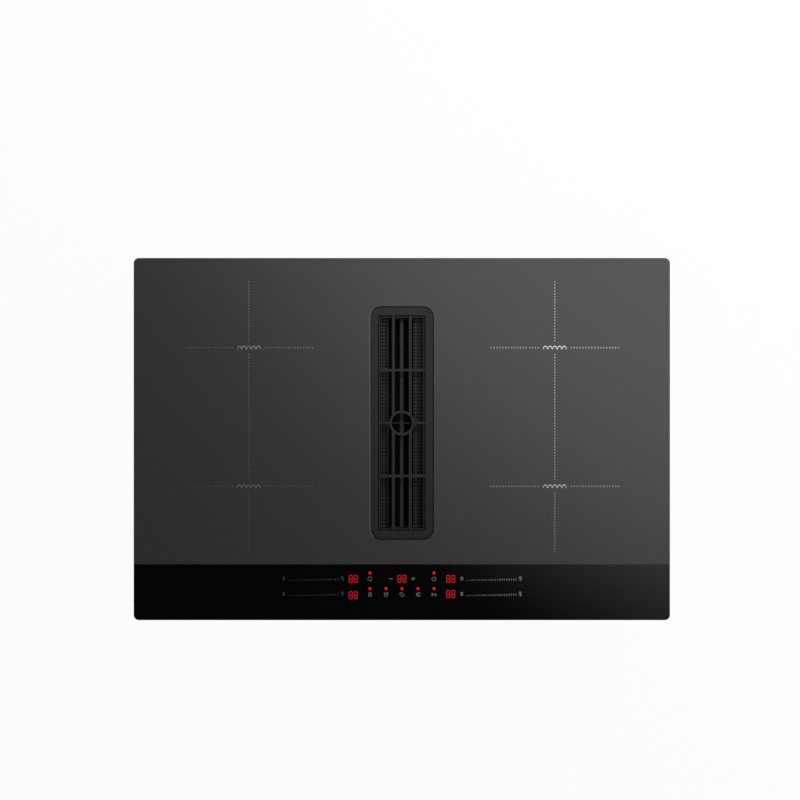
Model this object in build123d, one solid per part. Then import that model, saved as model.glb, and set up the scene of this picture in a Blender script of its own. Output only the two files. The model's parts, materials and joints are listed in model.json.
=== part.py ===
"""Downdraft induction cooktop, 77 cm wide, in millimetres.

+X is to the cook's right, -Y is the front with the controls, +Z is up.
The origin is the middle of the underside, on which the unit stands when it is not built in.
"""
from build123d import *
from math import cos, radians, sin
import os

os.makedirs("parts", exist_ok=True)

# ---- glass plate ----
glass_width = 770
glass_depth = 520
glass_thickness = 4
glass_corner_radius = 7.5
glass_edge_chamfer = 0.6
depth_below_glass = 208

# ---- worktop seal and bonded support frame ----
cutout_depth = 490
seal_inset = 1.5
seal_width = 7
seal_thickness = 2
support_sheet = 1.2
support_flange = 9
support_leg = 14

# ---- electronics pan ----
pan_width = 708
pan_depth = 470
pan_height = 58
pan_sheet = 1
pan_corner_radius = 6
bead_width = 10
bead_height = 1.5
bead_length = 150
bead_spread = 0.6
louvre_width = 3
louvre_height = 26
louvre_pitch = 12
louvre_count = 14

# ---- vent opening and its frame ----
vent_shift = 23
vent_width = 68
vent_length = 309
vent_corner_radius = 3
flange_side_margin = 10
flange_end_margin = 11.2
flange_corner_radius = 14
flange_proud = 0.3
flange_edge_chamfer = 0.4
joint_gap = 1.4
joint_recess = 1
collar_wall = 2
collar_overlap = 6
ledge_width = 3
ledge_thickness = 2
vent_support_margin = 10
vent_support_sheet = 1.5

# ---- grille ----
grille_gap = 1.1
grille_height = 9
grille_rim = 2
grille_rim_drop = 2.2
bar_end_gap = 0.4
grille_setback = 0.2
long_bar_width = 4.2
long_bar_spacing = 24.4
cross_bar_width = 3.6
cross_bar_height = 6
cross_bar_pitch = 76
ring_outer_radius = 18
ring_inner_radius = 14.5
ring_wire = 1.6
bar_edge_break = 0.5
pad_thickness = 1
pad_length = 12

# ---- grease filter cassette ----
filter_gap = 0.8
filter_drop = 5
filter_height = 38
filter_sheet = 0.8
filter_hem = 1.1
filter_corner_radius = 1.2
panel_recess = 4
panel_sheet = 1
panel_inner_left = 18.8
panel_inner_right = 16.6
panel_lip = 7
hole_radius = 1.3
hole_first = 18.2
hole_spacing = 4.8
hole_pitch = 4.93
hole_columns = 3
hole_rows = 60
handle_width = 5.7
handle_height = 13
handle_recess = 2
handle_rounding = 1
gutter_half_width = 18
gutter_depth = 12
gutter_strap_width = 12
gutter_strap_count = 4

# ---- inlet shaft ----
shaft_gap = 0.3
shaft_wall = 2.5
shaft_flange = 12
shaft_entry = 8
shaft_ledge_width = 3
pass_gap = 0.5

# ---- blower housing ----
isolator_height = 2
isolator_radius = 7
base_height = 82
deck_thickness = 3
housing_wall = 2.5
housing_flange = 8
lid_flange_thickness = 3
plenum_half_width = 53
plenum_margin = 14
duct_gasket_width = 6
ear_radius = 10
ear_thickness = 3
ear_reach = 9
ear_spacing = 200
bay_spot_share = 0.75
plenum_corner_radius = 10
blower_y = 5
lid_bulge_radius = 92
lid_corner_radius = 18
lid_edge_chamfer = 2

# ---- scroll and outlet ----
impeller_radius = 85
tongue_gap = 8
scroll_step = 20
tongue_angle = 30
tongue_radius = 4
channel_end = 120
channel_flare = 14
duct_width = 222
duct_height = 89
duct_wall = 2
duct_play = 0.5
spigot_wall = 2.5
spigot_lead = 10
joint_flange_width = 10
spigot_length = 32
spigot_rear_gap = 2
spigot_centre_x = 256
spigot_corner_radius = 6

# ---- impeller and motor ----
blade_count = 11
blade_thickness = 2.2
blade_inner_radius = 54
blade_sweep = 38
impeller_floor_gap = 11
impeller_disc = 2.5
impeller_height = 62
eye_radius = 58
mouth_depth = 6
mouth_radius = 6
hub_wall = 2.5
hub_height = 44
rotor_radius = 44
rotor_wall = 2
stator_radius = 38
stator_height = 32
stator_slots = 9
stator_slot_width = 5
stator_plate_radius = 50
stator_plate = 3
motor_bush_height = 4
motor_bush_radius = 7
motor_shaft_radius = 4
running_gap = 0.05
bearing_radius = 9
bearing_height = 7

# ---- overflow tray ----
tray_height = 22
tray_wall = 2
tray_gap = 0.5
tray_rail = 8
tray_length = 230
tray_front = 3
tray_grip = 14
drip_width = 60
drip_length = 200

# ---- cooking zones ----
zone_x = 220
zone_rear_y = 131.6
zone_front_y = -67.3
winding_radius = 90
winding_inner_radius = 30
winding_height = 6.5
carrier_radius = 93
carrier_height = 6.5
ferrite_count = 8
ferrite_length = 50
ferrite_width = 12
ferrite_height = 4
ferrite_play = 0.25
mica_thickness = 1
mica_radius = 92
mica_hole_radius = 12
sensor_radius = 8
coil_tray_sheet = 1.2
coil_tray_drop = 18
coil_tray_width = 226
coil_tray_front_y = -165
coil_tray_rear_y = 228
coil_tray_foot = 16

# ---- power electronics ----
board_width = 150
board_length = 300
board_sheet = 1.6
board_x = 205
board_y = 40
board_standoff = 6
board_post_inset = 6
heat_sink_width = 46
heat_sink_length = 190
heat_sink_height = 26
heat_sink_base = 5
heat_sink_inset = 4
fin_count = 7
fin_thickness = 1.6
capacitor_radius = 9
capacitor_height = 22
choke_size = 26
fan_size = 80
fan_height = 25
fan_corner_radius = 4
fan_x = 250
fan_y = -188
fan_bore_radius = 38
fan_rotor_radius = 37
fan_hub_radius = 16
fan_blades = 7
fan_blade_angle = 38
fan_blade_thickness = 1.6
fan_strut = 4
fan_pin_radius = 2
fan_slot_width = 5
fan_slot_pitch = 9

# ---- touch controls ----
touch_board_width = 372
touch_board_depth = 44
touch_margin = 27
touch_under_glass = 6
touch_carrier_margin = 1.5
touch_foot_width = 9
touch_carrier_sheet = 2
display_width = 14
display_depth = 12.5
display_spots = [(-70, 8.2), (0, 8.2), (70, 8.2), (70, -13.6), (-70, -15.6)]

# ---- mains connection ----
terminal_x = -280
terminal_y = 190
terminal_width = 96
terminal_depth = 60
terminal_height = 26
terminal_wall = 2
terminal_corner_radius = 4
terminal_cover_sheet = 2
terminal_poles = 5
terminal_pole_gap = 5
terminal_pole_height = 11
terminal_base_height = 3
terminal_bore_radius = 1.9
gland_radius = 11
gland_bore_radius = 6.5
gland_length = 16
gland_nut_radius = 14
gland_nut_length = 5

# ---- blower driver ----
driver_x = 297
driver_y = -42
driver_width = 46
driver_depth = 54
driver_height = 26
driver_corner_radius = 4
driver_edge_chamfer = 1.5

# ---- worktop clamps ----
clamp_y = 170
clamp_bracket_width = 30
clamp_bracket_sheet = 2
clamp_bracket_reach = 15.5
clamp_bracket_height = 46
clamp_screw_radius = 2.5
clamp_pivot_reach = 9
clamp_arm_width = 13
clamp_arm_length = 44
clamp_arm_thickness = 3
clamp_arm_lift = 8
clamp_tip_height = 6
clamp_gap = 0.08

# ---- small fasteners ----
screw_radius = 2
screw_head_radius = 3.8
screw_head_height = 2.4
screw_play = 0.1
fastener_length = 8
pan_screw_length = 4

# ---- levels worked out from the sizes above ----
z_glass = depth_below_glass
z_glass_top = z_glass + glass_thickness
z_flange_top = z_glass_top + flange_proud
z_grille = z_glass_top - grille_setback - grille_height
z_ledge_top = z_grille - pad_thickness
z_ledge = z_ledge_top - ledge_thickness
z_collar = z_ledge - collar_overlap
z_filter_top = z_ledge - filter_drop
z_filter = z_filter_top - filter_height
z_pan_top = z_glass - support_sheet
z_pan = z_glass - pan_height
z_pan_floor = z_pan + pan_sheet
z_lid_top = z_pan - isolator_height
z_deck = base_height
z_lid = z_deck + deck_thickness
z_shaft = z_lid_top - shaft_entry
z_plenum_floor = housing_wall + tray_height + 2 * tray_gap + housing_wall
z_coil_tray = z_glass - coil_tray_drop - coil_tray_sheet
z_carrier = z_coil_tray + coil_tray_sheet
z_winding = z_carrier + carrier_height
z_mica = z_winding + winding_height
z_board = z_pan_floor + board_standoff
z_touch_board = z_glass - touch_under_glass

# ---- plan sizes worked out from the sizes above ----
flange_width = vent_width + 2 * flange_side_margin
flange_length = vent_length + 2 * flange_end_margin
collar_width = vent_width + 2 * collar_wall
collar_length = vent_length + 2 * collar_wall
filter_width = vent_width - 2 * ledge_width - 2 * filter_gap
filter_length = vent_length - 2 * ledge_width - 2 * filter_gap
touch_y = touch_margin - pan_depth / 2
shaft_width = vent_width - 2 * shaft_gap
shaft_length = vent_length - 2 * shaft_gap
shaft_radius = vent_corner_radius
plenum_front = vent_shift - shaft_length / 2 - plenum_margin
plenum_rear = vent_shift + shaft_length / 2 + plenum_margin
plenum_length = plenum_rear - plenum_front
first_radius = impeller_radius + tongue_gap
blower_x = plenum_half_width + first_radius + 1.5 * scroll_step
scroll_right = blower_x + first_radius + 3.5 * scroll_step
zone_spots = {
    "rear_left": (-zone_x, zone_rear_y),
    "rear_right": (zone_x, zone_rear_y),
    "front_left": (-zone_x, zone_front_y),
    "front_right": (zone_x, zone_front_y),
}


# ---- shapes used more than once ----
def block(width, depth, height, x=0, y=0, z=0):
    """A box whose plan centre is x, y and whose underside is at z."""
    return Pos(x, y, z + height / 2) * Box(width, depth, height)


def rounded_plate(width, depth, radius, height, x=0, y=0, z=0):
    """A plate with rounded corners in plan."""
    return Pos(x, y, z) * extrude(RectangleRounded(width, depth, radius), height)


def rounded_ring(width, depth, radius, wall, height, x=0, y=0, z=0):
    """A rectangular ring, measured outside, with a wall of constant width."""
    inner_radius = max(radius - wall, 0.5)
    ring = RectangleRounded(width, depth, radius)
    ring -= RectangleRounded(width - 2 * wall, depth - 2 * wall, inner_radius)
    return Pos(x, y, z) * extrude(ring, height)


def rod(radius, height, x=0, y=0, z=0):
    """An upright cylinder standing on z."""
    return Pos(x, y, z + height / 2) * Cylinder(radius, height)


def tube(outer_radius, inner_radius, height, x=0, y=0, z=0):
    """An upright ring standing on z."""
    ring = Cylinder(outer_radius, height) - Cylinder(inner_radius, height)
    return Pos(x, y, z + height / 2) * ring


def polar(centre, reach, angle):
    """The point at an angle in degrees and a distance from a centre in plan."""
    return (centre[0] + reach * cos(radians(angle)), centre[1] + reach * sin(radians(angle)))


def screw(length):
    """A pan-head screw with its head above z = 0 and its shank below."""
    head = rod(screw_head_radius, screw_head_height)
    head = chamfer(head.edges().group_by(Axis.Z)[-1], screw_head_height / 3)
    return head + rod(screw_radius, length, z=-length)


def screw_hole(depth, x, y, z):
    """The hole that a screw of this file drops into from above."""
    return rod(screw_radius + screw_play, depth, x, y, z)


def sawn(shape, x_cuts, y_cuts):
    """A sheet part sawn along upright planes, so that each flat of it is a solid of its own."""
    pieces = []
    for low_x, high_x in zip(x_cuts, x_cuts[1:]):
        for low_y, high_y in zip(y_cuts, y_cuts[1:]):
            middle = ((low_x + high_x) / 2, (low_y + high_y) / 2)
            pieces += (shape & block(high_x - low_x, high_y - low_y, z_glass_top, *middle)).solids()
    return pieces


def ring_cuts(size, corner):
    """Where a ring is sawn along one axis: at its ends and where its corners begin."""
    return (-size / 2, corner - size / 2, size / 2 - corner, size / 2)


def save(name, *solids):
    """Writes one node: each solid stays separate in its file."""
    shape = solids[0] if len(solids) == 1 else Compound(children=[Compound(s.wrapped) for s in solids])
    shape.label = name
    export_step(shape, f"parts/{name}.step")


# ---- upper unit: glass, seal, frame, pan ----
def glass_plate():
    plate = rounded_plate(glass_width, glass_depth, glass_corner_radius, glass_thickness, z=z_glass)
    corner = flange_corner_radius + joint_gap
    plate -= rounded_plate(
        flange_width + 2 * joint_gap, flange_length + 2 * joint_gap, corner, glass_thickness,
        y=vent_shift, z=z_glass,
    )
    return chamfer(plate.edges().group_by(Axis.Z)[-1], glass_edge_chamfer)


def worktop_seal():
    width = glass_width - 2 * seal_inset
    depth = glass_depth - 2 * seal_inset
    corner = glass_corner_radius - seal_inset
    return rounded_ring(width, depth, corner, seal_width, seal_thickness, z=z_glass - seal_thickness)


def pan_screw_spots():
    """Where the pan is screwed to the leg of its frame: x, y and the turn about Z of each screw."""
    height = z_pan_top - support_leg / 2
    spots = []
    for x in (-pan_width / 3, pan_width / 3):
        spots += [(x, -pan_depth / 2, height, 0), (x, pan_depth / 2, height, 180)]
    for y in (-pan_depth / 4, pan_depth / 4):
        spots += [(-pan_width / 2, y, height, -90), (pan_width / 2, y, height, 90)]
    return spots


def pan_screw_places(shape):
    return [Pos(x, y, z) * Rot(0, 0, turn) * Rot(90, 0, 0) * shape for x, y, z, turn in pan_screw_spots()]


def pan_screws():
    return pan_screw_places(screw(pan_screw_length))


def pan_screw_holes():
    hole = rod(screw_radius + screw_play, pan_screw_length + 2, z=-pan_screw_length - 1)
    return pan_screw_places(hole)


def glass_support_frame():
    """Flange bonded under the glass and the leg welded to it, which the pan is screwed to."""
    inner_width = pan_width - 2 * pan_sheet
    inner_depth = pan_depth - 2 * pan_sheet
    inner_radius = pan_corner_radius - pan_sheet
    flange_corner = pan_corner_radius + support_flange
    flange = rounded_ring(
        pan_width + 2 * support_flange,
        pan_depth + 2 * support_flange,
        flange_corner,
        support_flange + pan_sheet + support_sheet,
        support_sheet,
        z=z_glass - support_sheet,
    )
    leg = rounded_ring(
        inner_width, inner_depth, inner_radius, support_sheet, support_leg - support_sheet,
        z=z_glass - support_leg,
    )
    leg -= pan_screw_holes()
    pieces = sawn(
        flange,
        ring_cuts(pan_width + 2 * support_flange, flange_corner + pan_sheet),
        ring_cuts(pan_depth + 2 * support_flange, flange_corner + pan_sheet),
    )
    return pieces + sawn(leg, ring_cuts(inner_width, inner_radius), ring_cuts(inner_depth, inner_radius))


def fan_inlet():
    """Slots under one cooling fan, clipped to a round field."""
    field = rod(fan_bore_radius - 2, 2 * pan_sheet)
    slots = []
    half = int(fan_bore_radius / fan_slot_pitch)
    for row in range(-half, half + 1):
        slots.append(block(2 * fan_bore_radius, fan_slot_width, 2 * pan_sheet, y=row * fan_slot_pitch))
    return field & Compound(children=slots)


def pan_floor():
    """Floor of the pan: stiffening beads, fan inlets, and the opening that the shaft passes through."""
    floor = rounded_plate(pan_width, pan_depth, pan_corner_radius, pan_sheet, z=z_pan)
    groove = bead_width - 2 * pan_sheet
    inlet = fan_inlet()
    for side in (-1, 1):
        x = side * (pan_width / 2 - bead_width * 2)
        for y in (board_y - bead_length * bead_spread, board_y + bead_length * bead_spread):
            bead = RectangleRounded(bead_width, bead_length, bead_width / 2.1)
            floor += Pos(x, y, z_pan_floor) * extrude(bead, bead_height)
            floor -= rounded_plate(
                groove, bead_length - 2 * pan_sheet, groove / 2.1, bead_height, x, y, z_pan
            )
        floor -= [Pos(side * fan_x, fan_y, z_pan - pan_sheet / 2) * slot for slot in inlet.solids()]
    for x, y in isolator_spots():
        floor -= screw_hole(3 * pan_sheet, x, y, z_pan - pan_sheet)
    floor -= block(
        terminal_width / 3, terminal_depth / 4, 3 * pan_sheet, terminal_x, terminal_y, z_pan - pan_sheet
    )
    hole_length = shaft_length + 2 * pass_gap
    corner = shaft_radius + pass_gap
    floor -= rounded_plate(
        shaft_width + 2 * pass_gap, hole_length, corner, 3 * pan_sheet, y=vent_shift, z=z_pan - pan_sheet
    )
    shaft_cuts = [vent_shift + cut for cut in ring_cuts(hole_length, corner)]
    return sawn(floor, (-pan_width / 2, pan_width / 2), (-pan_depth / 2, *shaft_cuts, pan_depth / 2))


def pan_walls():
    """Walls folded up from the floor, with the louvres that let the cooling air out at the back."""
    walls = rounded_ring(
        pan_width, pan_depth, pan_corner_radius, pan_sheet, z_pan_top - z_pan_floor, z=z_pan_floor
    )
    louvre = block(louvre_width, 3 * pan_sheet, louvre_height, z=z_pan_floor + louvre_height / 3)
    for side in (-1, 1):
        for step in range(louvre_count):
            x = side * (board_x + (step - (louvre_count - 1) / 2) * louvre_pitch)
            walls -= Pos(x, pan_depth / 2, 0) * louvre
    return sawn(
        walls - pan_screw_holes(),
        ring_cuts(pan_width, pan_corner_radius),
        ring_cuts(pan_depth, pan_corner_radius),
    )


def electronics_pan():
    return pan_floor() + pan_walls()


# ---- vent: support, frame, joint, grille ----
def vent_support():
    return rounded_plate(
        flange_width + 2 * vent_support_margin,
        flange_length + 2 * vent_support_margin,
        flange_corner_radius,
        vent_support_sheet,
        y=vent_shift,
        z=z_glass - vent_support_sheet,
    ) - rounded_plate(
        collar_width + 2 * pass_gap,
        collar_length + 2 * pass_gap,
        vent_corner_radius + collar_wall + pass_gap,
        vent_support_sheet,
        y=vent_shift,
        z=z_glass - vent_support_sheet,
    )


def inlet_frame():
    flange = rounded_plate(
        flange_width, flange_length, flange_corner_radius, z_flange_top - z_glass, y=vent_shift, z=z_glass
    )
    flange = chamfer(flange.edges().group_by(Axis.Z)[-1], flange_edge_chamfer)
    collar = rounded_plate(
        collar_width, collar_length, vent_corner_radius + collar_wall, z_glass - z_collar,
        y=vent_shift, z=z_collar,
    )
    bore = rounded_plate(
        vent_width, vent_length, vent_corner_radius, z_flange_top - z_collar, y=vent_shift, z=z_collar
    )
    ledge = rounded_ring(
        vent_width, vent_length, vent_corner_radius, ledge_width, ledge_thickness, y=vent_shift, z=z_ledge
    )
    return flange + collar - bore + ledge


def joint_seal():
    return rounded_ring(
        flange_width + 2 * joint_gap,
        flange_length + 2 * joint_gap,
        flange_corner_radius + joint_gap,
        joint_gap,
        glass_thickness - joint_recess,
        y=vent_shift,
        z=z_glass,
    )


def grille_rim_size():
    return vent_width - 2 * grille_gap, vent_length - 2 * grille_gap


def grille_bar(width, depth, height, x, y, z):
    """A bar with its upper edges broken."""
    bar = block(width, depth, height, x, y, z)
    return chamfer(bar.edges().group_by(Axis.Z)[-1], bar_edge_break)


def grille():
    width, length = grille_rim_size()
    corner = vent_corner_radius - grille_gap
    rim_height = grille_height - grille_rim_drop
    grid = rounded_ring(width, length, corner, grille_rim, rim_height, y=vent_shift, z=z_grille)
    bar_length = vent_length - 2 * bar_end_gap
    z_cross = z_grille + grille_height - cross_bar_height
    for side in (-1, 1):
        x = side * long_bar_spacing / 2
        grid += grille_bar(long_bar_width, bar_length, grille_height, x, vent_shift, z_grille)
    for step in (-1, 0, 1):
        y = vent_shift + step * cross_bar_pitch
        bar_length = vent_width - 2 * bar_end_gap
        grid += grille_bar(bar_length, cross_bar_width, cross_bar_height, 0, y, z_cross)
    grid -= rod(ring_outer_radius - bar_edge_break, grille_height, 0, vent_shift, z_grille)
    ring = tube(ring_outer_radius, ring_inner_radius, grille_height, 0, vent_shift, z_grille)
    ring = chamfer(ring.edges().group_by(Axis.Z)[-1], bar_edge_break)
    z_wire = z_grille + ring_wire
    wire = Rot(0, 90, 0) * Cylinder(ring_wire / 2, 2 * ring_inner_radius + ring_wire)
    return grid + ring + Pos(0, vent_shift, z_wire) * wire


def grille_pads():
    """Soft pads on the ledge, three along each side."""
    width = grille_rim_size()[0]
    return [
        block(
            grille_rim, pad_length, pad_thickness,
            side * (width - grille_rim) / 2, vent_shift + step * cross_bar_pitch * 1.6, z_ledge_top,
        )
        for side in (-1, 1)
        for step in (-1, 0, 1)
    ]


# ---- grease filter cassette ----
def filter_wall(thickness, height, z):
    """Outer wall of the cassette: round outside, square inside where the sheets meet it."""
    outline = RectangleRounded(filter_width, filter_length, filter_corner_radius)
    outline -= Rectangle(filter_width - 2 * thickness, filter_length - 2 * thickness)
    return Pos(0, vent_shift, z) * extrude(outline, height)


def filter_frame():
    hem = filter_wall(filter_hem, filter_sheet, z_filter_top - filter_sheet)
    return filter_wall(filter_sheet, filter_height, z_filter) + hem


def filter_panel(side):
    """Perforated sheet at one side of the inlet slot, with its inner edge bent down."""
    inner_edge = panel_inner_left if side < 0 else panel_inner_right
    length = filter_length - 2 * filter_sheet
    width = filter_width / 2 - filter_sheet - inner_edge
    z_top = z_filter_top - panel_recess
    sheet_x = side * (inner_edge + width / 2)
    lip_x = side * (inner_edge + panel_sheet / 2)
    panel = block(width, length, panel_sheet, sheet_x, vent_shift, z_top - panel_sheet)
    panel += block(panel_sheet, length, panel_lip, lip_x, vent_shift, z_top - panel_lip)
    first_row = vent_shift - (hole_rows - 1) / 2 * hole_pitch
    holes = []
    for column in range(hole_columns):
        reach = hole_first + column * hole_spacing
        if reach - hole_radius < inner_edge:
            continue
        for row in range(hole_rows):
            y = first_row + row * hole_pitch
            holes.append(rod(hole_radius, 3 * panel_sheet, side * reach, y, z_top - 2 * panel_sheet))
    return panel - holes


def filter_handle():
    """The rib along the inlet slot, rounded on top: it splits the air and lifts the cassette."""
    length = filter_length - 2 * filter_sheet
    z_top = z_filter_top - handle_recess
    bar = block(handle_width, length, handle_height, 0, vent_shift, z_top - handle_height)
    crown = bar.edges().filter_by(Axis.Y).group_by(Axis.Z)[-1]
    return fillet(crown, handle_rounding)


def filter_gutter():
    """Trough under the inlet slot that catches grease, and the straps that weld it to the cassette."""
    length = filter_length - 2 * filter_sheet
    wall_height = gutter_depth - filter_sheet
    z_wall = z_filter + filter_sheet
    end_width = 2 * (gutter_half_width - filter_sheet)
    pieces = [block(2 * gutter_half_width, length, filter_sheet, 0, vent_shift, z_filter)]
    for side in (-1, 1):
        x = side * (gutter_half_width - filter_sheet / 2)
        y = vent_shift + side * (length - filter_sheet) / 2
        pieces.append(block(filter_sheet, length, wall_height, x, vent_shift, z_wall))
        pieces.append(block(end_width, filter_sheet, wall_height, 0, y, z_wall))
    pitch = length / gutter_strap_count
    reach = filter_width / 2 - filter_sheet - gutter_half_width
    for side in (-1, 1):
        for strap in range(gutter_strap_count):
            y = vent_shift + (strap - (gutter_strap_count - 1) / 2) * pitch
            x = side * (gutter_half_width + reach / 2)
            pieces.append(block(reach, gutter_strap_width, filter_sheet, x, y, z_filter))
    return pieces


# ---- inlet shaft ----
def inlet_shaft():
    height = z_ledge - z_shaft
    outer = rounded_plate(shaft_width, shaft_length, shaft_radius, height, y=vent_shift, z=z_shaft)
    outer += rounded_plate(
        shaft_width + 2 * shaft_flange, shaft_length + 2 * shaft_flange, shaft_flange, shaft_wall,
        y=vent_shift, z=z_pan_floor,
    )
    bore_width = shaft_width - 2 * shaft_wall
    bore_length = shaft_length - 2 * shaft_wall
    outer -= rounded_plate(
        bore_width, bore_length, shaft_radius, z_ledge - z_filter, y=vent_shift, z=z_filter
    )
    neck_width = bore_width - 2 * shaft_ledge_width
    neck_length = bore_length - 2 * shaft_ledge_width
    return outer - rounded_plate(
        neck_width, neck_length, shaft_radius, z_filter - z_shaft, y=vent_shift, z=z_shaft
    )


def duct_gasket():
    wall = duct_gasket_width
    return rounded_ring(
        shaft_width + 2 * pass_gap + 2 * wall, shaft_length + 2 * pass_gap + 2 * wall, wall, wall,
        isolator_height, y=vent_shift, z=z_lid_top,
    )


# ---- blower housing ----
def quarter_centres():
    """Centres of the four arcs of the scroll: the corners of a small square round the shaft."""
    low_x = blower_x - scroll_step / 2
    low_y = blower_y - scroll_step / 2
    high_x = low_x + scroll_step
    high_y = low_y + scroll_step
    return [(low_x, high_y), (low_x, low_y), (high_x, low_y), (high_x, high_y)]


def scroll_sketch():
    """Inside of the scroll and its outlet channel: four arcs that grow by one step each quarter turn."""
    centres = quarter_centres()
    radii = [first_radius + scroll_step * quarter for quarter in range(4)]
    tongue = polar(centres[0], first_radius, tongue_angle)
    arcs = [CenterArc(centres[0], radii[0], tongue_angle, 90 - tongue_angle)]
    for quarter in (1, 2, 3):
        arcs.append(CenterArc(centres[quarter], radii[quarter], 90 * quarter, 90))
    right = (centres[3][0] + radii[3], centres[3][1])
    channel = Polyline(right, (right[0], channel_end), (channel_left(), channel_end), tongue)
    sketch = make_face(Curve() + arcs + channel)
    tip = sketch.vertices().sort_by_distance((tongue[0], tongue[1], 0))[0]
    return fillet(tip, tongue_radius)


def channel_left():
    """Left side of the channel where the spigot joins it."""
    return polar(quarter_centres()[0], first_radius, tongue_angle)[0] - channel_flare


def plenum_sketch(margin=0):
    sketch = RectangleRounded(
        2 * (plenum_half_width + margin), plenum_length + 2 * margin, plenum_corner_radius + margin
    )
    return Pos(0, (plenum_front + plenum_rear) / 2) * sketch


def housing_sketch(margin=0):
    """Outline of the base: the plenum and the scroll with its wall, cut square where the spigot joins."""
    scroll = offset(scroll_sketch(), amount=housing_wall + margin)
    beyond = Pos(blower_x, channel_end + duct_width / 2) * Rectangle(2 * duct_width, duct_width)
    return plenum_sketch(margin) + (scroll - beyond)


def lid_sketch(margin=0):
    """Outline of the lid: the plenum, and a round bay over the eye of the blower."""
    reach = lid_bulge_radius + margin
    bay = Pos(blower_x, blower_y) * Circle(reach)
    neck = Pos(blower_x / 2, blower_y) * Rectangle(blower_x, 2 * reach)
    outline = plenum_sketch(margin) + bay + neck
    for side in (-1, 1):
        corner = (plenum_half_width + margin, blower_y + side * reach, 0)
        vertex = outline.vertices().sort_by_distance(corner)[0]
        outline = fillet(vertex, lid_corner_radius - margin)
    return outline


def at_level(sketch, height, z):
    return Pos(0, 0, z) * extrude(sketch, height)


def isolator_spots():
    """Where the blower unit hangs from the pan: two ears on the plenum, three bosses over the bay."""
    reach = lid_bulge_radius * bay_spot_share
    spots = [(-plenum_half_width - ear_reach, vent_shift + side * ear_spacing / 2) for side in (-1, 1)]
    spots += [(blower_x, blower_y + side * reach) for side in (-1, 1)]
    return spots + [(blower_x + reach, blower_y)]


def rubber_bushes():
    """Rubber between the blower unit and the pan, and between the motor and the base."""
    bore = screw_radius + screw_play
    upper = [tube(isolator_radius, bore, isolator_height, x, y, z_lid_top) for x, y in isolator_spots()]
    lower = [rod(motor_bush_radius, motor_bush_height, x, y, housing_wall) for x, y in motor_bush_spots()]
    return upper + lower


def motor_bush_spots():
    reach = stator_plate_radius - motor_bush_radius
    return [polar((blower_x, blower_y), reach, 90 + 120 * step) for step in range(3)]


def hanger_screws():
    """Screws from inside the pan, through the rubber, into the lid."""
    length = pan_sheet + isolator_height + fastener_length
    return [Pos(x, y, z_pan_floor) * screw(length) for x, y in isolator_spots()]


def plenum_seam_spots():
    """Seam screws on the three free sides of the plenum, through the flange of the lid."""
    middle = housing_flange / 2
    side = -plenum_half_width - middle
    spots = [(side, vent_shift + step * plenum_length / 3) for step in (-1, 0, 1)]
    return spots + [(0, plenum_front - middle), (0, plenum_rear + middle)]


def scroll_seam_spots():
    """Seam screws along the scroll, through the deck only."""
    centres = quarter_centres()
    outside = first_radius + housing_wall + housing_flange / 2
    spots = [(centres[2][0], centres[2][1] - outside - 2 * scroll_step)]
    return spots + [polar(centres[3], outside + 3 * scroll_step, angle) for angle in (-50, -10)]


def seam_screws():
    z_covered = z_lid + lid_flange_thickness
    covered = [Pos(x, y, z_covered) * screw(fastener_length) for x, y in plenum_seam_spots()]
    return covered + [Pos(x, y, z_lid) * screw(fastener_length) for x, y in scroll_seam_spots()]


def seam_holes(z, height):
    return [screw_hole(height, x, y, z) for x, y in plenum_seam_spots() + scroll_seam_spots()]


def suction_lid():
    height = z_lid_top - z_lid
    lid = at_level(lid_sketch(), height, z_lid)
    lid = chamfer(lid.edges().group_by(Axis.Z)[-1], lid_edge_chamfer)
    lid -= at_level(offset(lid_sketch(), amount=-housing_wall), height - housing_wall, z_lid)
    lid += at_level(lid_sketch(housing_flange) - lid_sketch(), lid_flange_thickness, z_lid)
    for x, y in isolator_spots():
        if x < 0:
            lid += rod(ear_radius, ear_thickness, x, y, z_lid_top - ear_thickness)
            ear_x = x + ear_reach / 2
            lid += block(ear_reach, 2 * ear_radius, ear_thickness, ear_x, y, z_lid_top - ear_thickness)
        else:
            lid += rod(isolator_radius, fastener_length, x, y, z_lid_top - fastener_length)
        lid -= screw_hole(fastener_length + 1, x, y, z_lid_top - fastener_length - 0.5)
    lid -= rounded_plate(
        shaft_width + 2 * pass_gap, shaft_length + 2 * pass_gap, shaft_radius, height,
        y=vent_shift, z=z_lid_top - 2 * housing_wall,
    )
    return lid - seam_holes(z_lid, lid_flange_thickness)


def blower_deck():
    """Plate between the base and the lid, with the rounded inlet mouth over the impeller."""
    deck = at_level(housing_sketch(housing_flange), deck_thickness, z_deck)
    deck -= at_level(offset(plenum_sketch(), amount=-housing_wall), deck_thickness, z_deck)
    profile = Polyline(
        (eye_radius, -mouth_depth),
        (eye_radius + deck_thickness - 1, -mouth_depth),
        (eye_radius + deck_thickness - 1, 0),
        (eye_radius + mouth_radius, 0),
        (eye_radius + mouth_radius, deck_thickness),
    )
    lip = ThreePointArc(
        (eye_radius + mouth_radius, deck_thickness),
        (eye_radius + mouth_radius * 0.29, deck_thickness - mouth_radius * 0.29),
        (eye_radius, deck_thickness - mouth_radius),
    )
    side = Line((eye_radius, deck_thickness - mouth_radius), (eye_radius, -mouth_depth))
    section = Rot(90, 0, 0) * make_face(Curve() + profile + lip + side)
    deck -= rod(eye_radius + mouth_radius, deck_thickness, blower_x, blower_y, z_deck)
    deck += Pos(blower_x, blower_y, z_deck) * revolve(section, Axis.Z)
    return deck - seam_holes(z_deck, deck_thickness)


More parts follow.
